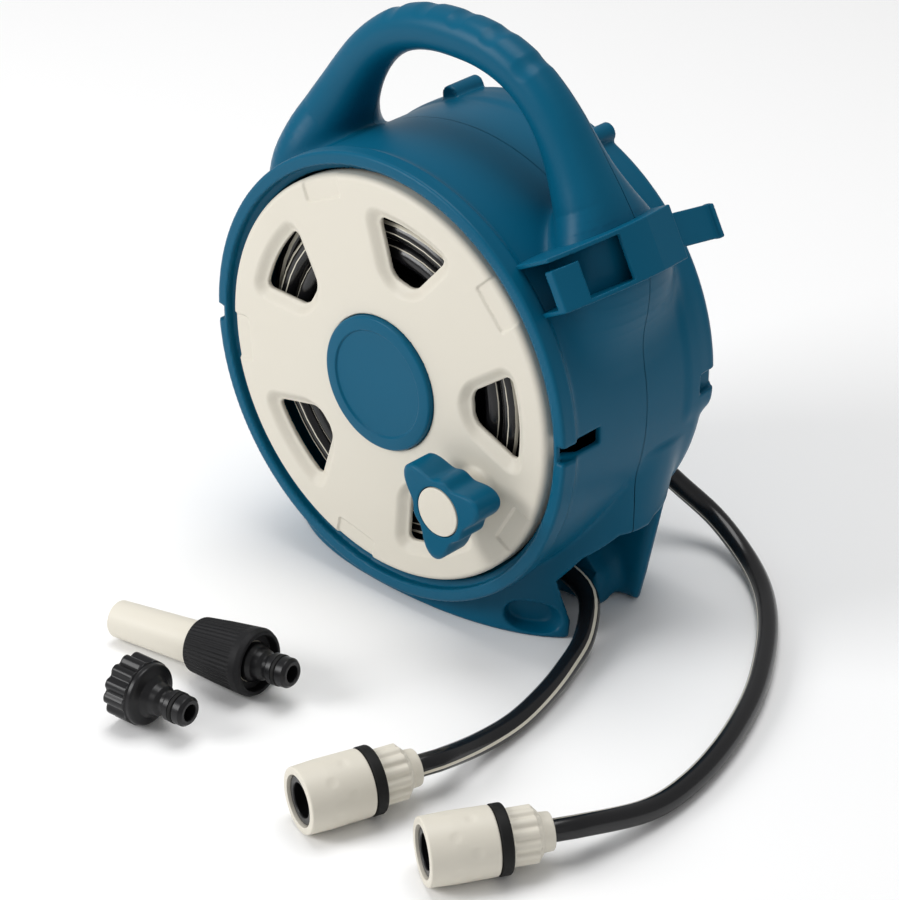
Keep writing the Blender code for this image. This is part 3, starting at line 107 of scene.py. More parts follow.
# Notch in the back band and slot in the front ring, on both sides
NOTCH_HALF = 6.0
NOTCH_LENGTH = 14.0
SLOT_HALF = 4.7
SLOT_RISE = 2.0
SLOT_FLOOR_X = 125.2
SLOT_INNER_X = 119.0
SLOT_BACK = -30.0
SLOT_FRONT_LEFT = -49.5
SLOT_FRONT_RIGHT = -59.0

# Hose exit in the right foot, with its outline as (y, z)
EXIT_OUTLINE = [(-15.0, 48.0), (-24.5, 34.0), (-23.5, 22.0), (-21.8, 10.0), (-24.0, -6.0),
                (27.5, -6.0), (28.5, 20.0), (36.0, 60.0), (1.0, 60.0)]
EXIT_INNER_X = 64.0
LEDGE_X = 94.0
LEDGE_SLANT = 113.0
LEDGE_FRONT = 10.0
LEDGE_BACK = 44.0
EXIT_SLOT_MIDDLE = (61.0, 2.0, 28.0)
EXIT_SLOT_HALF = (31.0, 10.0, 9.2)

# Oval pocket in the front of the right foot
POCKET_MIDDLE = (86.3, -34.5, 11.7)
POCKET_TURN = math.radians(28.7)
POCKET_HALF_WIDTH = 16.8
POCKET_HALF_HEIGHT = 9.0
POCKET_DEPTH = 8.0

# Spout of the inlet elbow at the back
SPOUT_ANGLE = math.radians(-60)
SPOUT_Y = 82.0
SPOUT_END = 38.0

# Stage, in metres, with each lamp's name, place, size and power in watts
FLOOR_HALF = 6.0
SKY_STRENGTH = 0.41
LAMPS = (("key", (-1.1, -1.9, 1.3), 1.1, 34.0), ("fill", (1.8, -0.9, 1.1), 1.6, 1.0),
         ("top", (-0.2, 0.2, 2.4), 1.4, 29.0))
LAMP_AIM = Vector((0.03, -0.05, 0.12))

# Camera solved on the photograph
CAMERA_TARGET = Vector((0.0491, -0.0620, 0.1141))
CAMERA_BACK = Vector((0.5944, -0.6374, 0.4905))
CAMERA_DISTANCE = 1.77
FOCAL_PIXELS = 3302.0
FRAME_WIDTH = 899


# Fields

def length2(a, b):
    return np.sqrt(a * a + b * b)


def merged(a, b, blend):
    """Union of two fields with a fillet."""
    share = np.clip(0.5 + 0.5 * (b - a) / blend, 0.0, 1.0)
    return b + (a - b) * share - blend * share * (1.0 - share)


def trimmed(a, b, edge):
    """First field less the second, with the edge rounded."""
    return -merged(-a, b, edge)


def rounded_box(distances, edge):
    """Inside all the given half-space distances, with rounded edges."""
    total = 0.0
    deepest = -1e9
    for distance in distances:
        total = total + np.maximum(distance + edge, 0.0) ** 2
        deepest = np.maximum(deepest, distance + edge)
    return np.sqrt(total) + np.minimum(deepest, 0.0) - edge


def oval(u, v, half_u, half_v, power):
    """Distance-like field of a superellipse."""
    a = np.abs(u) / half_u + 1e-6
    b = np.abs(v) / half_v + 1e-6
    total = a ** power + b ** power
    size = total ** (1.0 / power)
    slope = total ** (1.0 / power - 1.0) * np.sqrt(
        (a ** (power - 1.0) / half_u) ** 2 + (b ** (power - 1.0) / half_v) ** 2)
    return (size - 1.0) / slope


def polygon(u, v, corners):
    """Signed distance to a closed outline."""
    nearest = np.full(np.broadcast(u, v).shape, 1e9)
    side = np.ones(nearest.shape)
    for (u0, v0), (u1, v1) in zip(corners, corners[1:] + corners[:1]):
        du, dv = u1 - u0, v1 - v0
        along = np.clip(((u - u0) * du + (v - v0) * dv) / (du * du + dv * dv), 0.0, 1.0)
        nearest = np.minimum(nearest, length2(u - u0 - along * du, v - v0 - along * dv))
        crosses = ((v0 <= v) & (v < v1)) | ((v1 <= v) & (v < v0))
        height = dv if dv != 0.0 else 1.0
        left = u < u0 + (v - v0) * du / height
        side = np.where(crosses & left, -side, side)
    return nearest * side


def solid(name, field, low, high, cell):
    """Mesh of the field's zero surface inside a box, as a surface net.

    Each cell that the surface crosses gets a point, moved onto the surface along the
    field's slope.  Neighbouring cells' points are joined across each crossed grid edge.
    """
    counts = [int(math.ceil((b - a) / cell)) + 1 for a, b in zip(low, high)]
    x, y, z = np.ix_(*[a + cell * np.arange(n) for a, n in zip(low, counts)])
    inside = np.broadcast_to(field(x, y, z), counts) < 0.0
    corner_sum = np.zeros([n - 1 for n in counts], np.int8)
    for i, j, k in np.ndindex(2, 2, 2):
        corner_sum += inside[i:counts[0] - 1 + i, j:counts[1] - 1 + j, k:counts[2] - 1 + k]
    crossed = (corner_sum > 0) & (corner_sum < 8)
    number = np.full(crossed.shape, -1, np.int64)
    number[crossed] = np.arange(np.count_nonzero(crossed))
    points = np.array(low) + cell * (np.argwhere(crossed) + 0.5)
    for _ in range(3):
        points = drawn_in(points, field, cell)
    faces = net_faces(inside, number)
    mesh = bpy.data.meshes.new(name)
    mesh.vertices.add(len(points))
    mesh.vertices.foreach_set("co", (points * MM).astype(np.float32).ravel())
    mesh.loops.add(faces.size)
    mesh.loops.foreach_set("vertex_index", faces.astype(np.int32).ravel())
    mesh.polygons.add(len(faces))
    mesh.polygons.foreach_set("loop_start", np.arange(0, faces.size, 4, dtype=np.int32))
    mesh.polygons.foreach_set("loop_total", np.full(len(faces), 4, np.int32))
    mesh.update(calc_edges=True)
    mesh.shade_smooth()
    slope = slope_at(points, field, 0.3 * cell)
    normals = slope / np.linalg.norm(slope, axis=1)[:, None]
    mesh.normals_split_custom_set_from_vertices(normals.tolist())
    return new_piece(name, mesh)


def net_faces(inside, number):
    """Quads through the numbered points of the four cells round each crossed grid edge."""
    counts = inside.shape
    faces = []
    for axis in range(3):
        first = [slice(1, n - 1) for n in counts]
        second = list(first)
        first[axis] = slice(0, counts[axis] - 1)
        second[axis] = slice(1, counts[axis])
        here = inside[tuple(first)]
        change = here != inside[tuple(second)]
        start = np.argwhere(change) + np.array([0 if a == axis else 1 for a in range(3)])
        u, v = [a for a in range(3) if a != axis]
        corners = []
        for du, dv in ((0, 0), (-1, 0), (-1, -1), (0, -1)):
            cell_index = start.copy()
            cell_index[:, u] += du
            cell_index[:, v] += dv
            corners.append(number[tuple(cell_index.T)])
        quads = np.stack(corners, axis=1)
        leaves = here[change]
        flip = leaves if axis == 1 else ~leaves
        quads[flip] = quads[flip][:, ::-1]
        faces.append(quads)
    faces = np.concatenate(faces)
    return faces[(faces >= 0).all(axis=1)]


def new_piece(name, mesh):
    piece = bpy.data.objects.new(name, mesh)
    bpy.context.scene.collection.objects.link(piece)
    return piece


def slope_at(points, field, step):
    """Slope of a field at points, from the difference over a step each way."""
    slope = np.empty(points.shape)
    for axis in range(3):
        ahead, behind = points.copy(), points.copy()
        ahead[:, axis] += step
        behind[:, axis] -= step
        slope[:, axis] = (field(*ahead.T) - field(*behind.T)) / (2 * step)
    return slope


def drawn_in(points, field, cell):
    """Points moved along the field's slope towards its zero surface."""
    slope = slope_at(points, field, 0.05 * cell)
    size = np.maximum((slope ** 2).sum(axis=1), 0.05)
    move = slope * (field(*points.T) / size)[:, None]
    reach = np.linalg.norm(move, axis=1)
    move *= np.minimum(1.0, 0.5 * cell / np.maximum(reach, 1e-9))[:, None]
    return points - move


def curve_through(nodes, steps):
    """Smooth curve through points of any dimension, from the second to the last but one."""
    curve = []
    for a, b, c, d in zip(nodes, nodes[1:], nodes[2:], nodes[3:]):
        for i in range(steps):
            t = i / steps
            curve.append(0.5 * (2 * b + (c - a) * t + (2 * a - 5 * b + 4 * c - d) * t * t
                                + (3 * b - a - 3 * c + d) * t ** 3))
    return curve + [nodes[-2]]


# Casing

def handle_curve():
    """Centreline of the handle as (x, h, half thickness, half depth)."""
    rise = HANDLE_RISE
    right = [
        (0.0, rise, 12.5, 13.0), (16.0, rise - 0.8, 12.5, 13.0), (31.0, rise - 4.0, 12.5, 13.0),
        (45.0, rise - 10.0, 12.5, 13.1), (57.5, rise - 19.0, 12.7, 13.5),
        (68.0, rise - 30.0, 13.5, 14.3), (77.0, rise - 43.0, 14.7, 16.0),
        (85.0, rise - 57.0, 16.5, 20.0), (92.5, rise - 71.0, 18.5, 27.5),
        (99.5, rise - 86.0, 20.5, 36.9), (105.0, rise - 103.0, 21.5, 43.1),
        (106.5, rise - 123.0, 19.5, 45.0), (104.5, rise - 145.0, 15.5, 42.5),
    ]
    left = [(-x, h, thick, deep) for x, h, thick, deep in reversed(right[1:])]
    nodes = [np.array(node) for node in left + right]
    nodes = [2 * nodes[0] - nodes[1]] + nodes + [2 * nodes[-1] - nodes[-2]]
    return curve_through(nodes, 4)


HANDLE = handle_curve()


def handle_field(x, y, h):
    """Swept bar whose section grows from round to a deep oval down its legs."""
    best = np.full(np.broadcast(x, h).shape, 1e9)
    thick = np.full(best.shape, BAR_R)
    deep = np.full(best.shape, BAR_R)
    for start, end in zip(HANDLE, HANDLE[1:]):
        du, dv = end[0] - start[0], end[1] - start[1]
        along = np.clip(((x - start[0]) * du + (h - start[1]) * dv) / (du * du + dv * dv),
                        0.0, 1.0)
        away = length2(x - start[0] - along * du, h - start[1] - along * dv)
        nearer = away < best
        best = np.where(nearer, away, best)
        thick = np.where(nearer, start[2] + (end[2] - start[2]) * along, thick)
        deep = np.where(nearer, start[3] + (end[3] - start[3]) * along, deep)
    fore = 1.0 - FORE_SHRINK * np.clip(deep / BAR_R - 1.1, 0.0, 1.0)
    deep = np.where(y < 0.0, deep * fore, deep)
    for dip_x, dip_h in FINGER_DIPS:
        dip = np.clip(1.0 - ((x - dip_x) ** 2 + (h - dip_h) ** 2) / DIP_R ** 2, 0.0, 1.0)
        best = best + DIP_DEPTH * dip * np.sqrt(dip)
    return oval(best, y, thick, deep, BAR_POWER)


def drum_field(r, y, h):
    """Round drum with the raised band round its back."""
    drum = rounded_box((r - BODY_R, FRONT + 2 - y, y - BACK), BACK_ROUND)
    band = rounded_box((r - BAND_R, BACK - BAND_WIDTH - y, y - BACK), 5.0)
    band = trimmed(band, r - BAND_INNER_R, 6.0)
    band = trimmed(band, h - BAND_LOW, 14.0)
    return merged(drum, band, 3.0)


def base_plan(x, y, z):
    """Oval plan of the base, which flares and shifts back with height."""
    half_width = BASE_HALF_WIDTH + BASE_FLARE * np.clip(z / BASE_TOP, 0.0, 1.0)
    return oval(x, y - BASE_MIDDLE_Y - BASE_LEAN * z, half_width, BASE_HALF_DEPTH, PLAN_POWER)


def cavity_field(r, y):
    """Room for the reel: widest at the ring's face, narrow inside the ring, wide behind it."""
    widening = np.clip((y - FRONT - RING_DEPTH) / 5.0, 0.0, 1.0)
    inner = RING_INNER_R + (CAVITY_R - RING_INNER_R) * widening
    mouth = np.clip((FRONT + RING_FACE_DEPTH - y) / 1.5, 0.0, 1.0)
    inner = inner + (RING_FACE_R - RING_INNER_R) * mouth
    closed = rounded_box((r - inner, y - BACK + WALL, FRONT - 20.0 - y), BACK_ROUND - WALL)
    return np.where(y < 20.0, r - inner, closed)


def with_hub(body, r, x, y, h):
    """Body with the bearing hub inside its back, the bush hole and the screw wells."""
    hub = rounded_box((r - HUB_R, y - BACK + 1.0, BACK - WALL - HUB_LENGTH - y), 0.8)
    hole = np.maximum(r - BUSH_HOLE_R, BUSH_HOLE_FRONT - y)
    body = trimmed(merged(body, hub, 1.0), hole, 0.5)
    for well_x, well_h in SCREW_WELLS:
        well = np.maximum(length2(x - well_x, h - well_h) - WELL_R, WELL_FLOOR - y)
        body = trimmed(body, well, 0.5)
    return body


def with_side_slots(body, x, y, h, side):
    """Body less the notch at the back and the slot at the front of one side."""
    notch = rounded_box((np.abs(h) - NOTCH_HALF, CAVITY_R - side * x, BACK - NOTCH_LENGTH - y),
                        1.0)
    level = np.abs(h - SLOT_RISE * side) - SLOT_HALF
    groove = rounded_box((level, SLOT_FLOOR_X - side * x, y - SLOT_BACK), 1.0)
    front_end = SLOT_FRONT_RIGHT if side > 0 else SLOT_FRONT_LEFT
    through = rounded_box((level, SLOT_INNER_X - side * x, y - SLOT_BACK, front_end - y), 0.5)
    body = trimmed(body, notch, 1.0)
    return trimmed(body, np.minimum(groove, through), 1.0)


def casing_field(x, y, z):
    """Casing from outside: drum, base and handle run together, less all its openings."""
    h = z - AXIS_HEIGHT
    r = length2(x, h)
    plan = base_plan(x, y, z)
    base = rounded_box((plan, -z, z - BASE_TOP, y - BACK + REAR_STEP), 3.0)
    body = merged(drum_field(r, y, h), base, 2.5)
    body = merged(body, handle_field(x, y, h), 9.0)
    ring = rounded_box((r - RING_R, FRONT - y, y - FRONT - RING_DEPTH), 2.0)
    body = merged(body, ring, 6.0)
    for side in (-1, 1):
        boss_r = length2(x - side * BOSS_X, h - BOSS_H)
        boss = rounded_box((boss_r - BOSS_R, BACK - BOSS_LENGTH - y, y - BACK + REAR_STEP), 0.8)
        body = merged(body, boss, 2.0)
    body = trimmed(body, cavity_field(r, y), 1.2)
    body = with_hub(body, r, x, y, h)
    hollow = rounded_box((plan + WALL, x - HOLLOW_RIGHT, BODY_R + 0.5 - r, z - BASE_TOP + WALL),
                         1.5)
    body = trimmed(body, hollow, 0.6)
    exit_edge = 3.5 + 6.5 * np.clip((y - 20.0) / 6.0, 0.0, 1.0)
    body = trimmed(body, exit_field(x, y, z, r), exit_edge)
    body = trimmed(body, pocket_field(x, y, z), 1.5)
    for side in (-1, 1):
        body = with_side_slots(body, x, y, h, side)
    return body


def exit_field(x, y, z, r):
    """Recess in the right foot that the hose leaves by, with its ledge and its slot."""
    ledge = rounded_box((x - LEDGE_X, (x + z - LEDGE_SLANT) * 0.7, LEDGE_FRONT - y,
                         y - LEDGE_BACK), 3.0)
    recess = rounded_box((polygon(y, z, EXIT_OUTLINE), EXIT_INNER_X - x, BODY_R + 0.6 - r), 2.5)
    recess = trimmed(recess, ledge, 9.0)
    slot = rounded_box([np.abs(place - middle) - half for place, middle, half in
                        zip((x, y, z), EXIT_SLOT_MIDDLE, EXIT_SLOT_HALF)], 2.0)
    return np.minimum(recess, slot)


def pocket_field(x, y, z):
    """Oval pocket in the front of the right foot, narrower towards its floor."""
    dx, dy = x - POCKET_MIDDLE[0], y - POCKET_MIDDLE[1]
    across = dx * math.cos(POCKET_TURN) + dy * math.sin(POCKET_TURN)
    deep = -dx * math.sin(POCKET_TURN) + dy * math.cos(POCKET_TURN)
    sunk = np.clip(deep / POCKET_DEPTH, 0.0, 1.2)
    rim = oval(across + 4.0 * sunk, z - POCKET_MIDDLE[2], POCKET_HALF_WIDTH - 4.5 * sunk,
               POCKET_HALF_HEIGHT - 1.2 * sunk, 2.3)
    return rounded_box((rim, deep - POCKET_DEPTH, -2 * POCKET_DEPTH - deep), 1.5)


def make_casing():
    """Both shells, as one field parted at the seam."""
    cell = 1.7
    low, high = (-133.0, -64.0, -2.0), (134.0, 68.5, 336.0)
    whole = solid("casing_whole", casing_field, low, high, cell)
    for name, side, node in (("casing_front", -1, "front_shell"),
                             ("casing_back", 1, "rear_shell")):
        mesh = whole.data.copy()
        shape = bmesh.new()
        shape.from_mesh(mesh)
        place = (SEAM + side * SEAM_GAP / 2) * MM
        bmesh.ops.bisect_plane(shape, geom=shape.verts[:] + shape.edges[:] + shape.faces[:],
                               dist=1e-7, plane_co=(0.0, place, 0.0),
                               plane_no=(0.0, -side, 0.0), clear_outer=True)
        shape.to_mesh(mesh)
        shape.free()
        mesh.shade_smooth()
        stand_for(new_piece(name, mesh), "casing", node)
    bpy.data.objects.remove(whole)


# Materials

def shader(name, colour, roughness, metallic=0.0):
    """Principled material, its node tree and its shader node."""
    made = bpy.data.materials.new(name)
    made.use_nodes = True
    principled = made.node_tree.nodes["Principled BSDF"]
    principled.inputs["Base Color"].default_value = colour
    principled.inputs["Roughness"].default_value = roughness
    principled.inputs["Metallic"].default_value = metallic
    return made, made.node_tree, principled


def moulded(name, colour, dark, roughness, grain, strength, specular=0.5, metallic=0.0):
    """Material with a faint drift between two colours, uneven gloss and a fine grain."""
    made, tree, principled = shader(name, colour, roughness, metallic)
    principled.inputs["Specular IOR Level"].default_value = specular
    place = tree.nodes.new("ShaderNodeTexCoord")
    drift = tree.nodes.new("ShaderNodeTexNoise")
    drift.inputs["Scale"].default_value = 9.0
    drift.inputs["Detail"].default_value = 3.0
    shade = tree.nodes.new("ShaderNodeMix")
    shade.data_type = 'RGBA'
    shade.inputs["A"].default_value = colour
    shade.inputs["B"].default_value = dark
    gloss = tree.nodes.new("ShaderNodeMapRange")
    gloss.inputs["To Min"].default_value = roughness - 0.05
    gloss.inputs["To Max"].default_value = roughness + 0.05
    fine = tree.nodes.new("ShaderNodeTexNoise")
    fine.inputs["Scale"].default_value = grain
    fine.inputs["Detail"].default_value = 2.0
    bump = tree.nodes.new("ShaderNodeBump")
    bump.inputs["Strength"].default_value = strength
    bump.inputs["Distance"].default_value = 0.0002
    link = tree.links.new
    link(place.outputs["Object"], drift.inputs["Vector"])
    link(place.outputs["Object"], fine.inputs["Vector"])
    link(drift.outputs["Fac"], shade.inputs["Factor"])
    link(drift.outputs["Fac"], gloss.inputs["Value"])
    link(shade.outputs["Result"], principled.inputs["Base Color"])
    link(gloss.outputs["Result"], principled.inputs["Roughness"])
    link(fine.outputs["Fac"], bump.inputs["Height"])
    link(bump.outputs["Normal"], principled.inputs["Normal"])
    return made


teal = moulded("teal_polypropylene", (0.0004, 0.096, 0.178, 1.0), (0.0004, 0.084, 0.158, 1.0),
               roughness=0.36, grain=1800.0, strength=0.08, specular=0.14)
cream = moulded("cream_polypropylene", (0.70, 0.665, 0.58, 1.0), (0.67, 0.63, 0.54, 1.0),
                roughness=0.46, grain=2200.0, strength=0.10, specular=0.35)
black = moulded("black_polypropylene", (0.006, 0.006, 0.007, 1.0), (0.010, 0.010, 0.011, 1.0),
                roughness=0.30, grain=1600.0, strength=0.10, specular=0.28)
grip_black = moulded("grip_rubber", (0.007, 0.007, 0.008, 1.0), (0.012, 0.012, 0.013, 1.0),
                     roughness=0.55, grain=900.0, strength=0.30, specular=0.18)
rubber = moulded("seal_rubber", (0.006, 0.006, 0.006, 1.0), (0.010, 0.010, 0.010, 1.0),
                 roughness=0.6, grain=1200.0, strength=0.2, specular=0.2)
hose_black = moulded("hose_pvc", (0.005, 0.005, 0.006, 1.0), (0.009, 0.009, 0.010, 1.0),
                     roughness=0.20, grain=300.0, strength=0.05, specular=0.4)
steel = moulded("zinc_steel", (0.60, 0.61, 0.63, 1.0), (0.50, 0.51, 0.53, 1.0),
                roughness=0.32, grain=1400.0, strength=0.15, metallic=1.0)

LOOKS = {"teal_plastic": teal, "cream_plastic": cream, "black_plastic": black,
         "grip_rubber": grip_black, "seal_rubber": rubber, "hose_pvc": hose_black,
         "steel": steel}
SLOT_OF = {part["node"]: part["material_slot"] for part in frame["record"]["subparts"]}


def computed(tree, operation, source, value=None):
    """Result of a Math node on one socket and, if given, a number."""
    node = tree.nodes.new("ShaderNodeMath")
    node.operation = operation
    if value is not None:
        node.inputs[1].default_value = value
    tree.links.new(source, node.inputs[0])
    return node.outputs["Value"]


# Each stripe's place round the hose and its half width, in turns
STRIPES = ((0.0, 0.026), (0.13, 0.008))
STRIPE_BLUR = 0.002


def add_stripes(made):
    """Cream stripes that follow the layer "around" along a hose."""
    tree = made.node_tree
    principled = tree.nodes["Principled BSDF"]
    link = tree.links.new
    place = tree.nodes.new("ShaderNodeUVMap")
    place.uv_map = "around"
    split = tree.nodes.new("ShaderNodeSeparateXYZ")
    link(place.outputs["UV"], split.inputs["Vector"])
    under = principled.inputs["Base Color"].links[0].from_socket
    for shift, half in STRIPES:
        turned = computed(tree, 'ADD', split.outputs["Y"], shift)
        whole = computed(tree, 'FRACT', turned)
        away = computed(tree, 'ABSOLUTE', computed(tree, 'SUBTRACT', whole, 0.5))
        edge = tree.nodes.new("ShaderNodeMapRange")
        edge.inputs["From Min"].default_value = half + STRIPE_BLUR
        edge.inputs["From Max"].default_value = half - STRIPE_BLUR
        link(away, edge.inputs["Value"])
        paint = tree.nodes.new("ShaderNodeMix")
        paint.data_type = 'RGBA'
        paint.inputs["B"].default_value = (0.68, 0.64, 0.53, 1.0)
        link(edge.outputs["Result"], paint.inputs["Factor"])
        link(under, paint.inputs["A"])
        under = paint.outputs["Result"]
    link(under, principled.inputs["Base Color"])


add_stripes(hose_black)


def dress_nodes():
    """Give every CAD node that stays its material."""
    for name, node in frame["nodes"].items():
        node.data.materials.clear()
        node.data.materials.append(LOOKS[SLOT_OF[name]])


def stand_for(piece, body, *nodes):
    """Let a piece take the place and the material of CAD nodes."""
    slot_name = SLOT_OF[nodes[0]]
    piece.data.materials.append(LOOKS[slot_name])
    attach(piece, body)
    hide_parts(*nodes)
    return piece


# Stage

def make_stage():
    """Pale floor, soft light from the upper left and a faint fill."""
    shape = bmesh.new()
    bmesh.ops.create_grid(shape, x_segments=1, y_segments=1, size=FLOOR_HALF)
    mesh = bpy.data.meshes.new("floor")
    shape.to_mesh(mesh)
    shape.free()
    floor = new_piece("floor", mesh)
    look, _, _ = shader("floor_paper", (0.95, 0.95, 0.95, 1.0), 0.85)
    mesh.materials.append(look)
    world = bpy.data.worlds.new("studio")
    bpy.context.scene.world = world
    bpy.context.scene.view_settings.view_transform = 'Standard'
    world.use_nodes = True
    background = world.node_tree.nodes["Background"]
    background.inputs["Color"].default_value = (1.0, 1.0, 1.0, 1.0)
    background.inputs["Strength"].default_value = SKY_STRENGTH
    for name, place, size, power in LAMPS:
        lamp = bpy.data.lights.new(name, 'AREA')
        lamp.size = size
        lamp.energy = power
        holder = bpy.data.objects.new(name, lamp)
        bpy.context.scene.collection.objects.link(holder)
        holder.location = place
        aim = LAMP_AIM - Vector(place)
        holder.rotation_euler = aim.to_track_quat('-Z', 'Y').to_euler()


def make_camera():
    data = bpy.data.cameras.new("camera")
    data.sensor_fit = 'HORIZONTAL'
    data.sensor_width = 36.0
    data.lens = FOCAL_PIXELS * data.sensor_width / FRAME_WIDTH
    data.clip_end = 20.0
    camera = bpy.data.objects.new("camera", data)
    bpy.context.scene.collection.objects.link(camera)
    camera.location = CAMERA_TARGET + CAMERA_BACK.normalized() * CAMERA_DISTANCE
    camera.rotation_euler = (-CAMERA_BACK).to_track_quat('-Z', 'Y').to_euler()
    bpy.context.scene.camera = camera


# Turned and swept shapes

ARC_STEPS = 6


def with_arcs(corners):
    """Closed outline through (u, v, radius) corners, each rounded by its radius."""
    outline = []
    for i, (u, v, radius) in enumerate(corners):
        if radius <= 0.0:
            outline.append((u, v))
            continue
        corner = Vector((u, v))
        before = Vector(corners[i - 1][:2]) - corner
        after = Vector(corners[(i + 1) % len(corners)][:2]) - corner
        half = before.angle(after) / 2
        reach = min(radius / math.tan(half), 0.49 * before.length, 0.49 * after.length)
        radius = reach * math.tan(half)
        middle = corner + (before.normalized() + after.normalized()).normalized() * (
            radius / math.sin(half))
        start = corner + before.normalized() * reach - middle
        end = corner + after.normalized() * reach - middle
        for step in range(ARC_STEPS + 1):
            point = start.lerp(end, step / ARC_STEPS).normalized() * radius + middle
            outline.append((point.x, point.y))
    return outline


def divided(outline, spacing):
    """Closed outline with points added at about a spacing."""
    points = []
    for a, b in zip(outline, outline[1:] + outline[:1]):
        parts = max(1, int(math.dist(a, b) / spacing))
        for i in range(parts):
            share = i / parts
            points.append((a[0] + (b[0] - a[0]) * share, a[1] + (b[1] - a[1]) * share))
    return points


def lathe(name, corners, matrix, sides=96, fine=0.0, shape=None):
    """Closed turned piece from a profile of (r, z, rounding) in millimetres.

    fine divides the profile and shape(r, z, angle) then moves its points outward.
    """
    outline = with_arcs(corners)
    if fine:
        outline = divided(outline, fine)
    points = []
    for r, z in outline:
        for i in range(sides):
            angle = 2 * math.pi * i / sides
            out = shape(r, z, angle) if shape else r
            points.append(matrix @ Vector((out * math.cos(angle), out * math.sin(angle), z)) * MM)
    faces = []
    count = len(outline)
    for i in range(count):
        here, there = i * sides, (i + 1) % count * sides
        for j in range(sides):
            k = (j + 1) % sides
            faces.append((here + j, here + k, there + k, there + j))
    mesh = bpy.data.meshes.new(name)
    mesh.from_pydata(points, [], faces)
    turned = bmesh.new()
    turned.from_mesh(mesh)
    bmesh.ops.remove_doubles(turned, verts=turned.verts, dist=1e-6)
    bmesh.ops.recalc_face_normals(turned, faces=turned.faces)
    turned.to_mesh(mesh)
    turned.free()
    mesh.shade_smooth()
    mesh.set_sharp_from_angle(angle=math.radians(40))
    return new_piece(name, mesh)


def smooth_route(points, spacing):
    """Evenly spaced points on a smooth curve, with the first and last stretches straight."""
    nodes = [np.array(p, float) for p in points]
    curve = curve_through(nodes, 24)
    steps = [np.linalg.norm(b - a) for a, b in zip(curve, curve[1:])]
    lengths = np.concatenate([[0.0], np.cumsum(steps)])
    count = max(2, round(lengths[-1] / spacing))
    goals = np.linspace(0.0, lengths[-1], count + 1)
    curve = np.array(curve)
    even = np.stack([np.interp(goals, lengths, curve[:, axis]) for axis in range(3)], axis=1)
    return [nodes[0]] + list(even) + [nodes[-1]]


def hose_tube(name, route, radius, turn=0.0, twist=0.0, sides=32):
    """Hose swept along a route in millimetres.

    The layer "around" holds the run along the hose and the place round it, which starts at
    turn and advances by twist, both in whole turns, the second for each millimetre.
    """
    points = [Vector(p) for p in route]
    ways = []
    for i in range(len(points)):
        ahead = points[min(i + 1, len(points) - 1)]
        behind = points[max(i - 1, 0)]
        ways.append((ahead - behind).normalized())
    across = ways[0].cross(Vector((0.0, 0.0, 1.0))).normalized()
    vertices = []
    places = []
    run = 0.0
    for i, (point, way) in enumerate(zip(points, ways)):
        if i:
            across = ways[i - 1].rotation_difference(way) @ across
            run += (point - points[i - 1]).length
        across = (across - way * across.dot(way)).normalized()
        up = way.cross(across)
        for j in range(sides):
            share = j / sides
            angle = 2 * math.pi * share
            vertices.append((point + across * math.cos(angle) * radius
                             + up * math.sin(angle) * radius) * MM)
            places.append((run * MM, share + turn + twist * run))
    faces = []
    shares = []
    for i in range(len(points) - 1):
        here, there = i * sides, (i + 1) * sides
        for j in range(sides):
            k = (j + 1) % sides
            faces.append((here + j, here + k, there + k, there + j))
            wrap = 1.0 if k == 0 else 0.0
            for corner, more in ((here + j, 0.0), (here + k, wrap), (there + k, wrap),
                                 (there + j, 0.0)):
                shares.append((places[corner][0], places[corner][1] + more))
    for end in (0, len(points) - 1):
        ring = [end * sides + j for j in range(sides)]
        faces.append(ring[::-1] if end == 0 else ring)
        shares += [(places[end * sides][0], 0.5)] * sides
    mesh = bpy.data.meshes.new(name)
    mesh.from_pydata(vertices, [], faces)
    layer = mesh.uv_layers.new(name="around")
    layer.data.foreach_set("uv", np.array(shares, np.float32).ravel())
    mesh.shade_smooth()
    mesh.set_sharp_from_angle(angle=math.radians(50))
    return new_piece(name, mesh)


# Hoses, in millimetres like all that follows

HOSE_R = 6.0
LAYER_R = 98.97
OUTLET_Y = 4.0
OUTLET_DROP = 1.2
SLEEVE_R = 18.2
CLEARANCE = 0.3
CONNECTOR_HEIGHT = SLEEVE_R + CLEARANCE
CONNECTOR_END = 66.0

# Each connector's place and its heading in degrees
CONNECTORS = ((122.3, -251.7, 250.1), (197.1, -240.4, 238.7))

# Each free hose's stripes: their start, in turns, and their twist per millimetre
HOSE_TURNS = ((0.73, 0.0009), (0.30, 0.0006))

OUTLET_ROUTE = [
    (45.0, 4.0, 26.8), (75.0, 1.0, 24.0), (100.0, -4.5, 17.5), (118.0, -28.0, 9.0),
    (129.0, -57.0, 6.2), (138.0, -87.0, 6.2), (143.0, -115.0, 6.4), (145.0, -145.0, 9.5),
]
TAIL_ROUTE = [
    (36.0, 83.0, 76.0), (54.0, 93.0, 54.0), (76.0, 102.0, 35.0), (100.0, 107.0, 20.0),
    (128.0, 99.0, 10.0), (154.0, 82.0, 6.5), (178.0, 57.0, 6.2), (200.0, 26.0, 6.2),
    (220.0, -10.0, 6.2), (236.0, -52.0, 6.2), (245.0, -92.0, 6.4), (246.0, -128.0, 8.5),
]


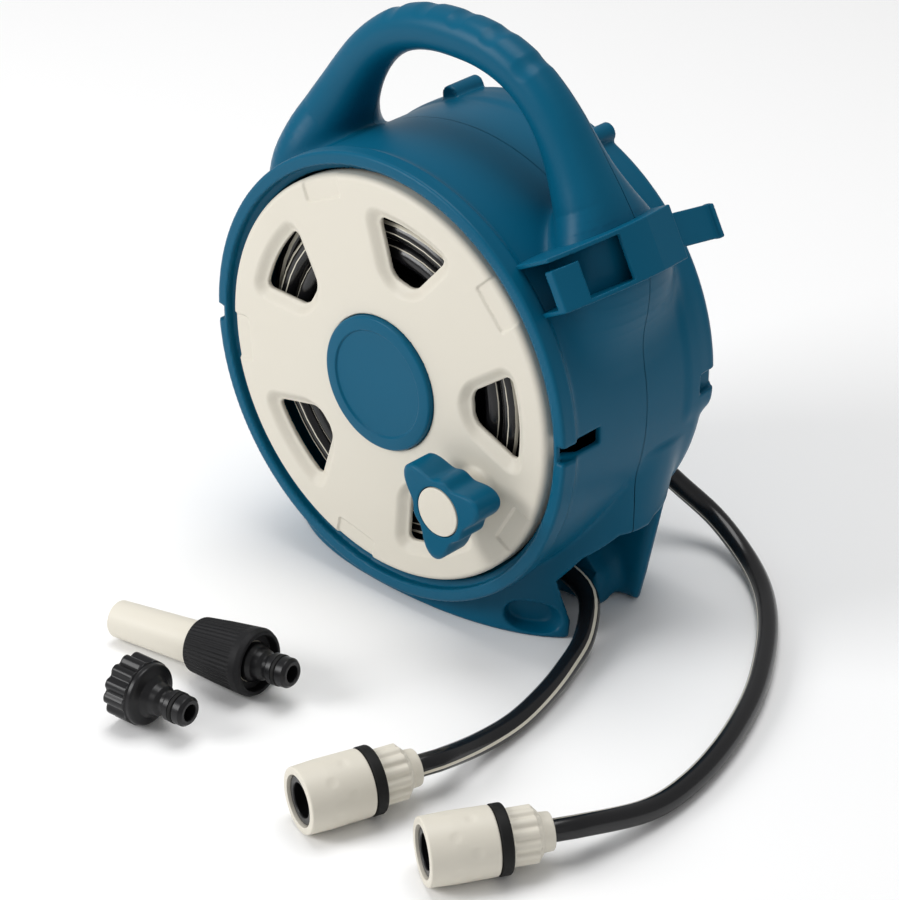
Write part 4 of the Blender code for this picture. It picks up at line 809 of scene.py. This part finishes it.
def make_hoses():
    """The two free hoses, from the casing and from the inlet to their connectors."""
    outlet_height = AXIS_HEIGHT - LAYER_R - 2 * HOSE_R - OUTLET_DROP
    spout_way = Vector((math.cos(SPOUT_ANGLE), 0.0, math.sin(SPOUT_ANGLE)))
    mouth = Vector((0.0, SPOUT_Y, AXIS_HEIGHT)) + spout_way * (SPOUT_END + 1.5)
    starts = ([(12.0, OUTLET_Y, outlet_height), (24.0, OUTLET_Y, outlet_height)],
              [tuple(mouth), tuple(mouth + spout_way * 2 * HOSE_R)])
    for i, (start, route) in enumerate(zip(starts, (OUTLET_ROUTE, TAIL_ROUTE))):
        x, y, heading = CONNECTORS[i]
        way = Vector((math.cos(math.radians(heading)), math.sin(math.radians(heading)), 0.0))
        place = Vector((x, y, CONNECTOR_HEIGHT))
        end = [tuple(place - way * (CONNECTOR_END + CLEARANCE + 2 * HOSE_R)),
               tuple(place - way * (CONNECTOR_END + CLEARANCE))]
        points = smooth_route(start + route + end, 6.0)
        name = ("outlet_hose", "tail_hose")[i]
        hose = hose_tube(name + "_tube", points, HOSE_R, *HOSE_TURNS[i])
        stand_for(hose, "casing", name)


# Reel

REEL = Matrix.Translation((0.0, 0.0, AXIS_HEIGHT)) @ Matrix.Rotation(math.radians(90), 4, 'X')
PLATE_R = 117.2
PLATE_DEPTH = 11.5
PLATE_THICK = 2.8
PLATE_RIM = 3.0
CONE_RISE = 1.6
CAP_R = 39.0
SEAT_R = 39.4
SEAT_Y = -60.2
SEAT_THICK = 3.0

# Windows, whose slanting sides have the normal WINDOW_SIDE, and shallow dents between them
SECTOR = 2 * math.pi / 5
WINDOW_TURN = math.radians(6)
WINDOW_NEAR = 63.4
WINDOW_NEAR_HALF = 8.46
WINDOW_FAR_R = 96.0
WINDOW_SIDE = (-0.4916, 0.8708)
WINDOW_ROUND = 4.5
BEVEL_WIDTH = 7.5
BEVEL_DEPTH = 4.2
DENT_NEAR = 103.6
DENT_HALF = 14.0
DENT_DEPTH = 1.3

# Crank knob, whose KNOB_BACK and KNOB_FRONT are distances in front of y = 0
KNOB_ORBIT = 81.0
KNOB_ANGLE = math.radians(-30)
KNOB_X = KNOB_ORBIT * math.cos(KNOB_ANGLE)
KNOB_H = KNOB_ORBIT * math.sin(KNOB_ANGLE)
KNOB_BOSS_R = 13.0
KNOB_BOSS_FRONT = -74.4
KNOB_R = 22.5
KNOB_TOP_R = 14.7
KNOB_LOBES = 3
KNOB_TURN = math.radians(23)
KNOB_BACK = 75.0
KNOB_FRONT = 94.0


def plate_front(r):
    """Plate's front surface at a radius: a shallow cone."""
    rim = PLATE_R - 6.0
    return FRONT - 0.5 - CONE_RISE * np.clip((rim - r) / (rim - CAP_R), -0.1, 1.0)


def smooth_step(share):
    share = np.clip(share, 0.0, 1.0)
    return share * share * (3.0 - 2.0 * share)


def plate_field(x, y, z):
    """Reel plate: a thin shell with sunk, bevelled windows, dents on its spokes and a boss."""
    h = z - AXIS_HEIGHT
    r = length2(x, h)
    angle = np.arctan2(h, x) - WINDOW_TURN
    fold = angle - SECTOR * np.round(angle / SECTOR)
    u, v = r * np.cos(fold), np.abs(r * np.sin(fold))
    side = WINDOW_SIDE[0] * (u - WINDOW_NEAR) + WINDOW_SIDE[1] * (v - WINDOW_NEAR_HALF)
    window = rounded_box((side, r - WINDOW_FAR_R, WINDOW_NEAR - u), WINDOW_ROUND)
    spoke = angle - SECTOR * (np.floor(angle / SECTOR) + 0.5)
    u, v = r * np.cos(spoke), np.abs(r * np.sin(spoke))
    dent = rounded_box((v - DENT_HALF, DENT_NEAR - u), 2.0)
    bevel = BEVEL_DEPTH * smooth_step(1.0 - window / BEVEL_WIDTH)
    front = plate_front(r) + (bevel + DENT_DEPTH * smooth_step(-dent / 1.6 + 0.3))
    outer = rounded_box((r - PLATE_R, front - y), 3.6)
    inner = rounded_box((r - PLATE_R + PLATE_RIM, front + PLATE_THICK - y), 2.0)
    shell = trimmed(np.maximum(outer, y - FRONT - PLATE_DEPTH), inner, 0.4)
    shell = trimmed(shell, window, 0.8)
    shell = trimmed(shell, np.maximum(r - SEAT_R, y - SEAT_Y), 0.5)
    seat = np.maximum(np.maximum(r - SEAT_R - 2.6, y - SEAT_Y - SEAT_THICK), SEAT_Y - y)
    boss_r = length2(x - KNOB_X, h - KNOB_H)
    boss = rounded_box((boss_r - KNOB_BOSS_R, KNOB_BOSS_FRONT - y, y + 60.0), 0.8)
    return merged(np.minimum(shell, seat), boss, 3.0)


def make_plate():
    cell = 1.05
    plate = solid("plate", plate_field, (-118.0, -76.0, 20.0), (118.0, -49.0, 256.0), cell)
    stand_for(plate, "reel", "reel_plate")


def make_cap():
    """Centre cap with a raised rim round its shallow, bare middle."""
    cap = lathe("cap", [
        (0.0, 66.3, 0.0), (30.6, 66.3, 0.6), (31.5, 67.4, 0.6), (CAP_R, 67.0, 1.6),
        (CAP_R, 60.5, 0.0), (36.0, 60.5, 0.0), (36.0, 62.4, 0.0), (0.0, 62.4, 0.0),
    ], REEL, 160)
    stand_for(cap, "reel", "centre_cap")


def knob_reach(angle):
    """Radius of the knob's lobed outline."""
    lobe = KNOB_LOBES * (angle - KNOB_TURN)
    return KNOB_R + 5.8 * math.cos(lobe) + 2.4 * math.cos(2 * lobe)


def lobed(r, z, angle):
    """Outline that grows from round at the cap to lobed at the knob's edge."""
    share = min(1.0, max(0.0, (r - KNOB_TOP_R) / (KNOB_R - KNOB_TOP_R)))
    return r + (knob_reach(angle) - KNOB_R) * share


def make_knob():
    """Lobed crank knob with its cream cap."""
    place = REEL @ Matrix.Translation((KNOB_X, KNOB_H, 0.0))
    knob = lathe("knob", [
        (14.6, KNOB_FRONT, 0.5), (KNOB_R, KNOB_FRONT, 2.0), (KNOB_R, KNOB_BACK, 1.5),
        (5.5, KNOB_BACK, 0.0), (5.5, 90.0, 0.0), (14.6, 91.0, 0.0),
    ], place, 240, 0.7, lobed)
    stand_for(knob, "knob", "crank_knob")
    cap = lathe("knob_disc", [
        (0.0, 94.3, 0.0), (14.0, 94.3, 0.8), (14.0, 91.4, 0.0), (0.0, 91.4, 0.0),
    ], place, 96)
    stand_for(cap, "knob", "knob_cap")


def spread(turns):
    """Way from the corner between spiral and layer, opened out near the corner."""
    return 12.55 * (turns + 0.23 * (1.0 - math.exp(-turns / 0.15)))


# Winding, from the drum's port out through the spiral and back in the layer
WINDING_FRONT = 46.83
WINDING_START_R = 61.1
WINDING_START_ANGLE = math.radians(225)
PORT_OFFSET = 21.3
SPIRAL_TURNS = 2.5
LAYER_TURNS = 6.625
STEPS_PER_TURN = 48


def make_winding():
    """One unbroken hose: out in a flat spiral behind the plate, then back in a layer."""
    port = WINDING_START_ANGLE - math.atan2(PORT_OFFSET, WINDING_START_R)
    points = []
    for along in (9.3, 15.3):
        points.append((WINDING_START_R * math.cos(port) - along * math.sin(port),
                       WINDING_START_R * math.sin(port) + along * math.cos(port),
                       WINDING_FRONT))
    for i in range(round((SPIRAL_TURNS + LAYER_TURNS) * STEPS_PER_TURN) + 1):
        turns = i / STEPS_PER_TURN
        angle = WINDING_START_ANGLE + 2 * math.pi * turns
        inward = spread(SPIRAL_TURNS - turns) if turns < SPIRAL_TURNS else 0.0
        aft = spread(turns - SPIRAL_TURNS) if turns > SPIRAL_TURNS else 0.0
        r = LAYER_R - inward
        points.append((r * math.cos(angle), r * math.sin(angle), WINDING_FRONT - aft))
    route = [REEL @ Vector(p) for p in points]
    hose = hose_tube("winding", route, HOSE_R, turn=0.18, twist=0.00025, sides=24)
    stand_for(hose, "reel", "wound_hose")


# Inlet at the back

INLET_R = 15.5
INLET_DEPTH = 22.5
FLANGE_R = 25.0
FLANGE_THICK = 3.8
FLANGE_SCREW_R = 20.5
SPOUT_R = 8.0
COLLAR_R = 10.0
COLLAR_END = 21.0


def inlet_field(x, y, z):
    """Swivel elbow: a flange on the rear wall, a domed body and its spout."""
    h = z - AXIS_HEIGHT
    r = length2(x, h)
    start = BACK + 0.3 - y
    flange = rounded_box((r - FLANGE_R, start, y - BACK - FLANGE_THICK), 0.8)
    body = rounded_box((r - INLET_R, start, y - BACK - INLET_DEPTH), 4.0)
    bead = rounded_box((r - INLET_R - 1.2, BACK + 7.0 - y, y - BACK - 10.0), 1.0)
    elbow = merged(merged(flange, body, 2.5), bead, 0.8)
    along = x * math.cos(SPOUT_ANGLE) + h * math.sin(SPOUT_ANGLE)
    across = h * math.cos(SPOUT_ANGLE) - x * math.sin(SPOUT_ANGLE)
    away = length2(across, y - SPOUT_Y)
    spout = rounded_box((away - SPOUT_R, 4.0 - along, along - SPOUT_END), 0.6)
    collar = rounded_box((away - COLLAR_R, 4.0 - along, along - COLLAR_END), 1.0)
    elbow = merged(elbow, merged(spout, collar, 1.0), 2.5)
    seat = np.maximum(r - 11.9, y - BACK - 3.3)
    socket = np.minimum(np.maximum(r - 10.1, y - BACK - 10.0), seat)
    elbow = trimmed(elbow, socket, 0.3)
    for angle in (math.radians(30), math.radians(210)):
        screw_x, screw_h = FLANGE_SCREW_R * math.cos(angle), FLANGE_SCREW_R * math.sin(angle)
        elbow = trimmed(elbow, length2(x - screw_x, h - screw_h) - 1.9, 0.2)
    return elbow


def make_inlet():
    """Swivel elbow on the rear wall and the ribbed nut that holds the tail hose."""
    cell = 0.7
    elbow = solid("swivel_elbow", inlet_field, (-26.0, 65.0, 98.0), (28.5, 94.0, 164.5), cell)
    stand_for(elbow, "casing", "inlet_elbow")
    way = Vector((math.cos(SPOUT_ANGLE), 0.0, math.sin(SPOUT_ANGLE)))
    place = Matrix.Translation((0.0, SPOUT_Y, AXIS_HEIGHT)) @ way.to_track_quat(
        'Z', 'Y').to_matrix().to_4x4()
    nut = lathe("swivel_nut", [
        (8.4, 25.4, 0.0), (12.4, 25.4, 0.8), (12.8, 27.5, 0.6), (12.8, 36.6, 0.8),
        (10.4, 39.2, 0.8), (6.3, 39.2, 0.3), (6.3, 38.3, 0.0), (8.4, 38.3, 0.0),
    ], place, 192, 0.6, fluted(12, 1.0, 26.6, 37.4, 11.8))
    stand_for(nut, "casing", "inlet_nut")


# Fittings

def lying(x, y, height, heading, tilt=0.0):
    """Frame whose z runs along a fitting that lies on the floor."""
    return (Matrix.Translation((x, y, height)) @ Matrix.Rotation(math.radians(heading), 4, 'Z')
            @ Matrix.Rotation(math.radians(90) + tilt, 4, 'Y'))


DIMPLES = 6
DIMPLE_R = 3.2
DIMPLE_DEPTH = 0.35
DIMPLE_ROWS = (-14.0, -24.0)


def dimpled(r, z, angle):
    """Shallow round finger dimples in two staggered rows."""
    if r < 17.0:
        return r
    dent = 0.0
    for row, row_z in enumerate(DIMPLE_ROWS):
        for i in range(DIMPLES):
            centre = 2 * math.pi * (i + 0.5 * row) / DIMPLES + 0.35
            gap = (angle - centre + math.pi) % (2 * math.pi) - math.pi
            away = math.hypot(gap * 18.0, z - row_z)
            dent = max(dent, 1.0 - (away / DIMPLE_R) ** 2)
    return r - DIMPLE_DEPTH * max(0.0, dent)


def fluted(count, depth, low, high, above):
    """Flutes between broad lands, over a stretch of a turned piece."""
    def shape(r, z, angle):
        if r < above:
            return r
        share = min(1.0, max(0.0, (z - low) / 1.2)) * min(1.0, max(0.0, (high - z) / 1.2))
        land = 0.5 + 0.5 * math.cos(count * angle)
        return r - depth * share * (1.0 - land) ** 1.6
    return shape


SLEEVE_LENGTH = 36.0
SOCKET_R = 14.9
SOCKET_BODY_END = -42.4
HOSE_NUT_R = 15.0
HOSE_NUT_START = -42.8


def make_connector(index, x, y, heading):
    """Hose-end quick connector, with its socket at z = 0."""
    place = lying(x, y, CONNECTOR_HEIGHT, heading)
    tag = "_%d" % index
    sleeve = lathe("sleeve" + tag, [
        (13.8, 0.0, 0.3), (17.7, 0.0, 1.0), (SLEEVE_R, -14.0, 8.0), (17.9, -SLEEVE_LENGTH, 1.6),
        (15.9, -SLEEVE_LENGTH, 0.0), (15.9, -42.2, 0.0), (15.4, -42.2, 0.0), (15.4, -4.5, 0.0),
        (13.8, -3.5, 0.0),
    ], place, 144, 0.8, dimpled)
    stand_for(sleeve, "sleeve" + tag, "connector_sleeve" + tag)
    ring = lathe("grip_ring" + tag, [
        (16.2, -36.3, 0.0), (SLEEVE_R, -36.3, 2.6), (SLEEVE_R, -42.6, 2.9), (15.6, -42.6, 0.4),
    ], place, 96)
    stand_for(ring, "sleeve" + tag, "connector_ring" + tag)
    body = lathe("socket" + tag, [
        (8.9, -1.5, 0.8), (13.0, -1.5, 0.8), (13.0, -9.0, 0.0), (SOCKET_R, -9.0, 0.0),
        (SOCKET_R, SOCKET_BODY_END, 0.0), (9.1, SOCKET_BODY_END, 0.0), (9.1, -55.25, 0.0),
        (4.45, -55.25, 0.0), (4.45, -27.0, 0.6), (8.9, -27.0, 0.0), (8.9, -12.0, 0.0),
        (9.9, -10.0, 0.0), (9.9, -5.0, 0.0),
    ], place, 96)
    stand_for(body, "casing", "connector_body" + tag)
    nut = lathe("hose_nut" + tag, [
        (9.4, HOSE_NUT_START, 0.0), (HOSE_NUT_R, HOSE_NUT_START, 0.3), (HOSE_NUT_R, -56.5, 0.6),
        (11.6, -59.4, 0.8), (10.3, -60.0, 0.8), (9.9, -CONNECTOR_END, 1.0),
        (6.2, -CONNECTOR_END, 0.3), (6.2, -55.6, 0.0), (9.4, -55.6, 0.0),
    ], place, 224, 0.5, fluted(14, 1.3, -58.8, HOSE_NUT_START - 0.2, 12.0))
    stand_for(nut, "casing", "connector_nut" + tag)


# Outside of a spigot, from its root to its mouth
SPIGOT = [(11.0, 0.9, 1.6), (9.2, 3.2, 1.4), (8.4, 7.0, 1.2), (6.6, 9.0, 0.8),
          (6.6, 11.5, 0.8), (8.6, 12.8, 0.5), (8.6, 16.2, 0.3), (7.0, 16.2, 0.0),
          (7.0, 19.0, 0.0), (8.3, 19.0, 0.3), (8.3, 23.6, 1.0), (6.8, 25.4, 0.6)]
SPIGOT_BORE_R = 4.6
SPIGOT_END = 25.4
O_RING_LOW = 16.35
O_RING_HIGH = 18.85


def o_ring(name, place, low, high, body, node):
    ring = lathe(name, [(7.3, low, 0.6), (8.75, low, 0.7), (8.75, high, 0.7), (7.3, high, 0.6)],
                 place, 64)
    stand_for(ring, body, node)


# Nozzle, lying on its barrel's tip and its grip's back edge
NOZZLE_X = -80.0
NOZZLE_Y = -190.0
NOZZLE_HEADING = 187.0
NOZZLE_LENGTH = 100.0
NOZZLE_TIP_R = 10.5
NOZZLE_BACK_R = 19.0
NOZZLE_ROOT = -97.0
RIBS = 44
RIB_DEPTH = 0.55
RIBS_FRONT = -59.5
RIBS_BACK = -93.0


def ribbed_grip(r, z, angle):
    """Fine ribs of the rubber grip, which run out before its smooth back collar."""
    if r < 15.0 or z > RIBS_FRONT or z < RIBS_BACK:
        return r
    rib = 0.5 + 0.5 * math.cos(RIBS * angle)
    share = min(1.0, (RIBS_FRONT - z) / 1.5) * min(1.0, (z - RIBS_BACK) / 1.5)
    return r - RIB_DEPTH * share * (1.0 - rib)


def make_nozzle():
    """Twist nozzle: cream barrel and ribbed grip on a black stem."""
    tilt = math.asin((NOZZLE_BACK_R - NOZZLE_TIP_R) / NOZZLE_LENGTH)
    height = NOZZLE_TIP_R * math.cos(tilt) + 2 * CLEARANCE
    place = lying(NOZZLE_X, NOZZLE_Y, height, NOZZLE_HEADING, tilt)
    barrel = lathe("nozzle_tube", [
        (3.2, 0.0, 0.4), (7.6, -0.6, 0.6), (8.2, 0.0, 0.3), (NOZZLE_TIP_R, 0.0, 1.7),
        (12.2, -58.0, 0.0), (11.8, -58.0, 0.0), (11.8, -94.0, 0.0), (7.7, -94.0, 0.0),
        (7.7, -16.0, 0.0), (3.2, -10.0, 0.0),
    ], place, 96)
    stand_for(barrel, "nozzle", "nozzle_barrel")
    grip = lathe("nozzle_sleeve", [
        (12.1, -58.3, 0.0), (15.4, -58.3, 2.0), (17.3, -76.0, 20.0), (NOZZLE_BACK_R, -97.0, 2.0),
        (17.6, -NOZZLE_LENGTH, 1.2), (15.6, -NOZZLE_LENGTH, 0.6), (15.0, -95.0, 0.6),
        (11.4, -95.0, 0.3), (11.4, -94.3, 0.0), (12.1, -94.3, 0.0),
    ], place, 352, 0.9, ribbed_grip)
    stand_for(grip, "nozzle", "nozzle_grip")
    outline = [(r, NOZZLE_ROOT - z, rounding) for r, z, rounding in SPIGOT]
    stem = lathe("nozzle_core", [
        (0.0, -18.0, 0.0), (2.5, -18.0, 0.0), (5.7, -22.0, 0.0), (7.2, -31.0, 0.0),
        (7.2, -94.6, 0.0), (11.0, -94.6, 0.4),
    ] + outline + [
        (SPIGOT_BORE_R, NOZZLE_ROOT - SPIGOT_END, 0.6), (SPIGOT_BORE_R, -60.0, 0.0),
        (0.0, -56.0, 0.0),
    ], place, 96)
    stand_for(stem, "casing", "nozzle_stem")
    o_ring("nozzle_o_ring", place, NOZZLE_ROOT - O_RING_HIGH, NOZZLE_ROOT - O_RING_LOW, "casing",
           "nozzle_seal")


TAP_NUT_R = 18.2
TAP_NUT_END = -20.0


def make_tap_adaptor():
    """Tap adaptor: scalloped nut with a smooth shoulder, and a spigot."""
    place = lying(0.0, -237.0, TAP_NUT_R + 0.5, 5.4)
    nut = lathe("tap_nut", [
        (13.2, TAP_NUT_END, 0.5), (TAP_NUT_R, TAP_NUT_END, 1.2), (TAP_NUT_R, -5.4, 0.8),
        (17.2, -4.8, 0.6), (17.2, -1.6, 2.0), (11.8, 0.0, 0.8),
    ] + SPIGOT + [
        (SPIGOT_BORE_R, SPIGOT_END, 0.6), (SPIGOT_BORE_R, -3.5, 0.0), (13.2, -3.5, 0.0),
    ], place, 240, 0.8, fluted(12, 2.1, TAP_NUT_END - 1.0, -5.2, 15.5))
    stand_for(nut, "casing", "tap_adaptor")
    o_ring("tap_o_ring", place, O_RING_LOW, O_RING_HIGH, "casing", "tap_seal")


# Holster, in a frame tilted about the reel's axis: u outward, v up beside it, w forward
HOLSTER_TILT = math.radians(28)
HOLSTER_OUT = 163.6
HOLSTER_LOW = 13.4
HOLSTER_HIGH = 43.4
HOLSTER_FRONT = 54.0
HOLSTER_BACK = -28.0
HOLSTER_WALL = 2.5
CORNER_W = 40.0
OPENING_W = 14.0
HOOK_U = 154.5
HOOK_THICK = 3.0
TOE_THICK = 5.0
HOOK_BACK = -60.5
HOOK_LOW = 19.4
HOOK_HIGH = 38.3
HOOK_DROOP = 0.15


def holster_field(x, y, z):
    """Open-topped holster on the right shoulder with its hook, which hangs a little."""
    h = z - AXIS_HEIGHT
    u = x * math.cos(HOLSTER_TILT) + h * math.sin(HOLSTER_TILT)
    v = -x * math.sin(HOLSTER_TILT) + h * math.cos(HOLSTER_TILT)
    w = -y
    bow = (HOLSTER_OUT - 17.1 * np.clip((w + 6.0) / 60.0, 0.0, 1.0) ** 2
           - 2.8 * np.clip((-6.0 - w) / 22.0, 0.0, 1.0))
    block = rounded_box((u - bow, 112.0 - u, w - HOLSTER_FRONT, HOLSTER_BACK - w,
                         HOLSTER_LOW - v, v - HOLSTER_HIGH), 0.8)
    low = HOLSTER_LOW + HOLSTER_WALL - v
    high = v - HOLSTER_HIGH + HOLSTER_WALL
    wall = np.where(w > CORNER_W, 5.6, 2.6)
    room = rounded_box((u - bow + wall, w - 70.0, HOLSTER_BACK + HOLSTER_WALL - w, low, high),
                       0.6)
    room = np.maximum(room, BODY_R + 1.2 - length2(x, h))
    over = rounded_box((CORNER_W - w, w - 70.0, bow - 9.0 - u, 36.5 - v, high), 0.6)
    opening = rounded_box((w - CORNER_W, OPENING_W - w, bow - 8.0 - u, low, high), 0.6)
    walls = trimmed(block, np.minimum(np.minimum(room, opening), over), 0.4)
    hanging = v + HOOK_DROOP * np.maximum(HOLSTER_BACK - w, 0.0)
    rest = (HOOK_BACK - w, HOOK_LOW - hanging, hanging - HOOK_HIGH)
    hook = rounded_box((u - HOOK_U - HOOK_THICK, HOOK_U - u, w + 26.0) + rest, 0.7)
    toe = rounded_box((u - HOOK_U - TOE_THICK, HOOK_U - u, w - HOOK_BACK - 3.0) + rest, 0.7)
    return np.minimum(walls, merged(hook, toe, 1.5))


def make_holster():
    cell = 0.75
    low, high = (70.0, -55.5, 190.0), (146.0, 64.5, 256.0)
    holster = solid("holster", holster_field, low, high, cell)
    holster.data.materials.append(teal)
    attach(holster, "casing")


dress_nodes()
make_camera()
for number, connector in enumerate(CONNECTORS):
    make_connector(number + 1, *connector)
make_hoses()
make_casing()
make_holster()
make_plate()
make_cap()
make_knob()
make_winding()
make_inlet()
make_nozzle()
make_tap_adaptor()
make_stage()
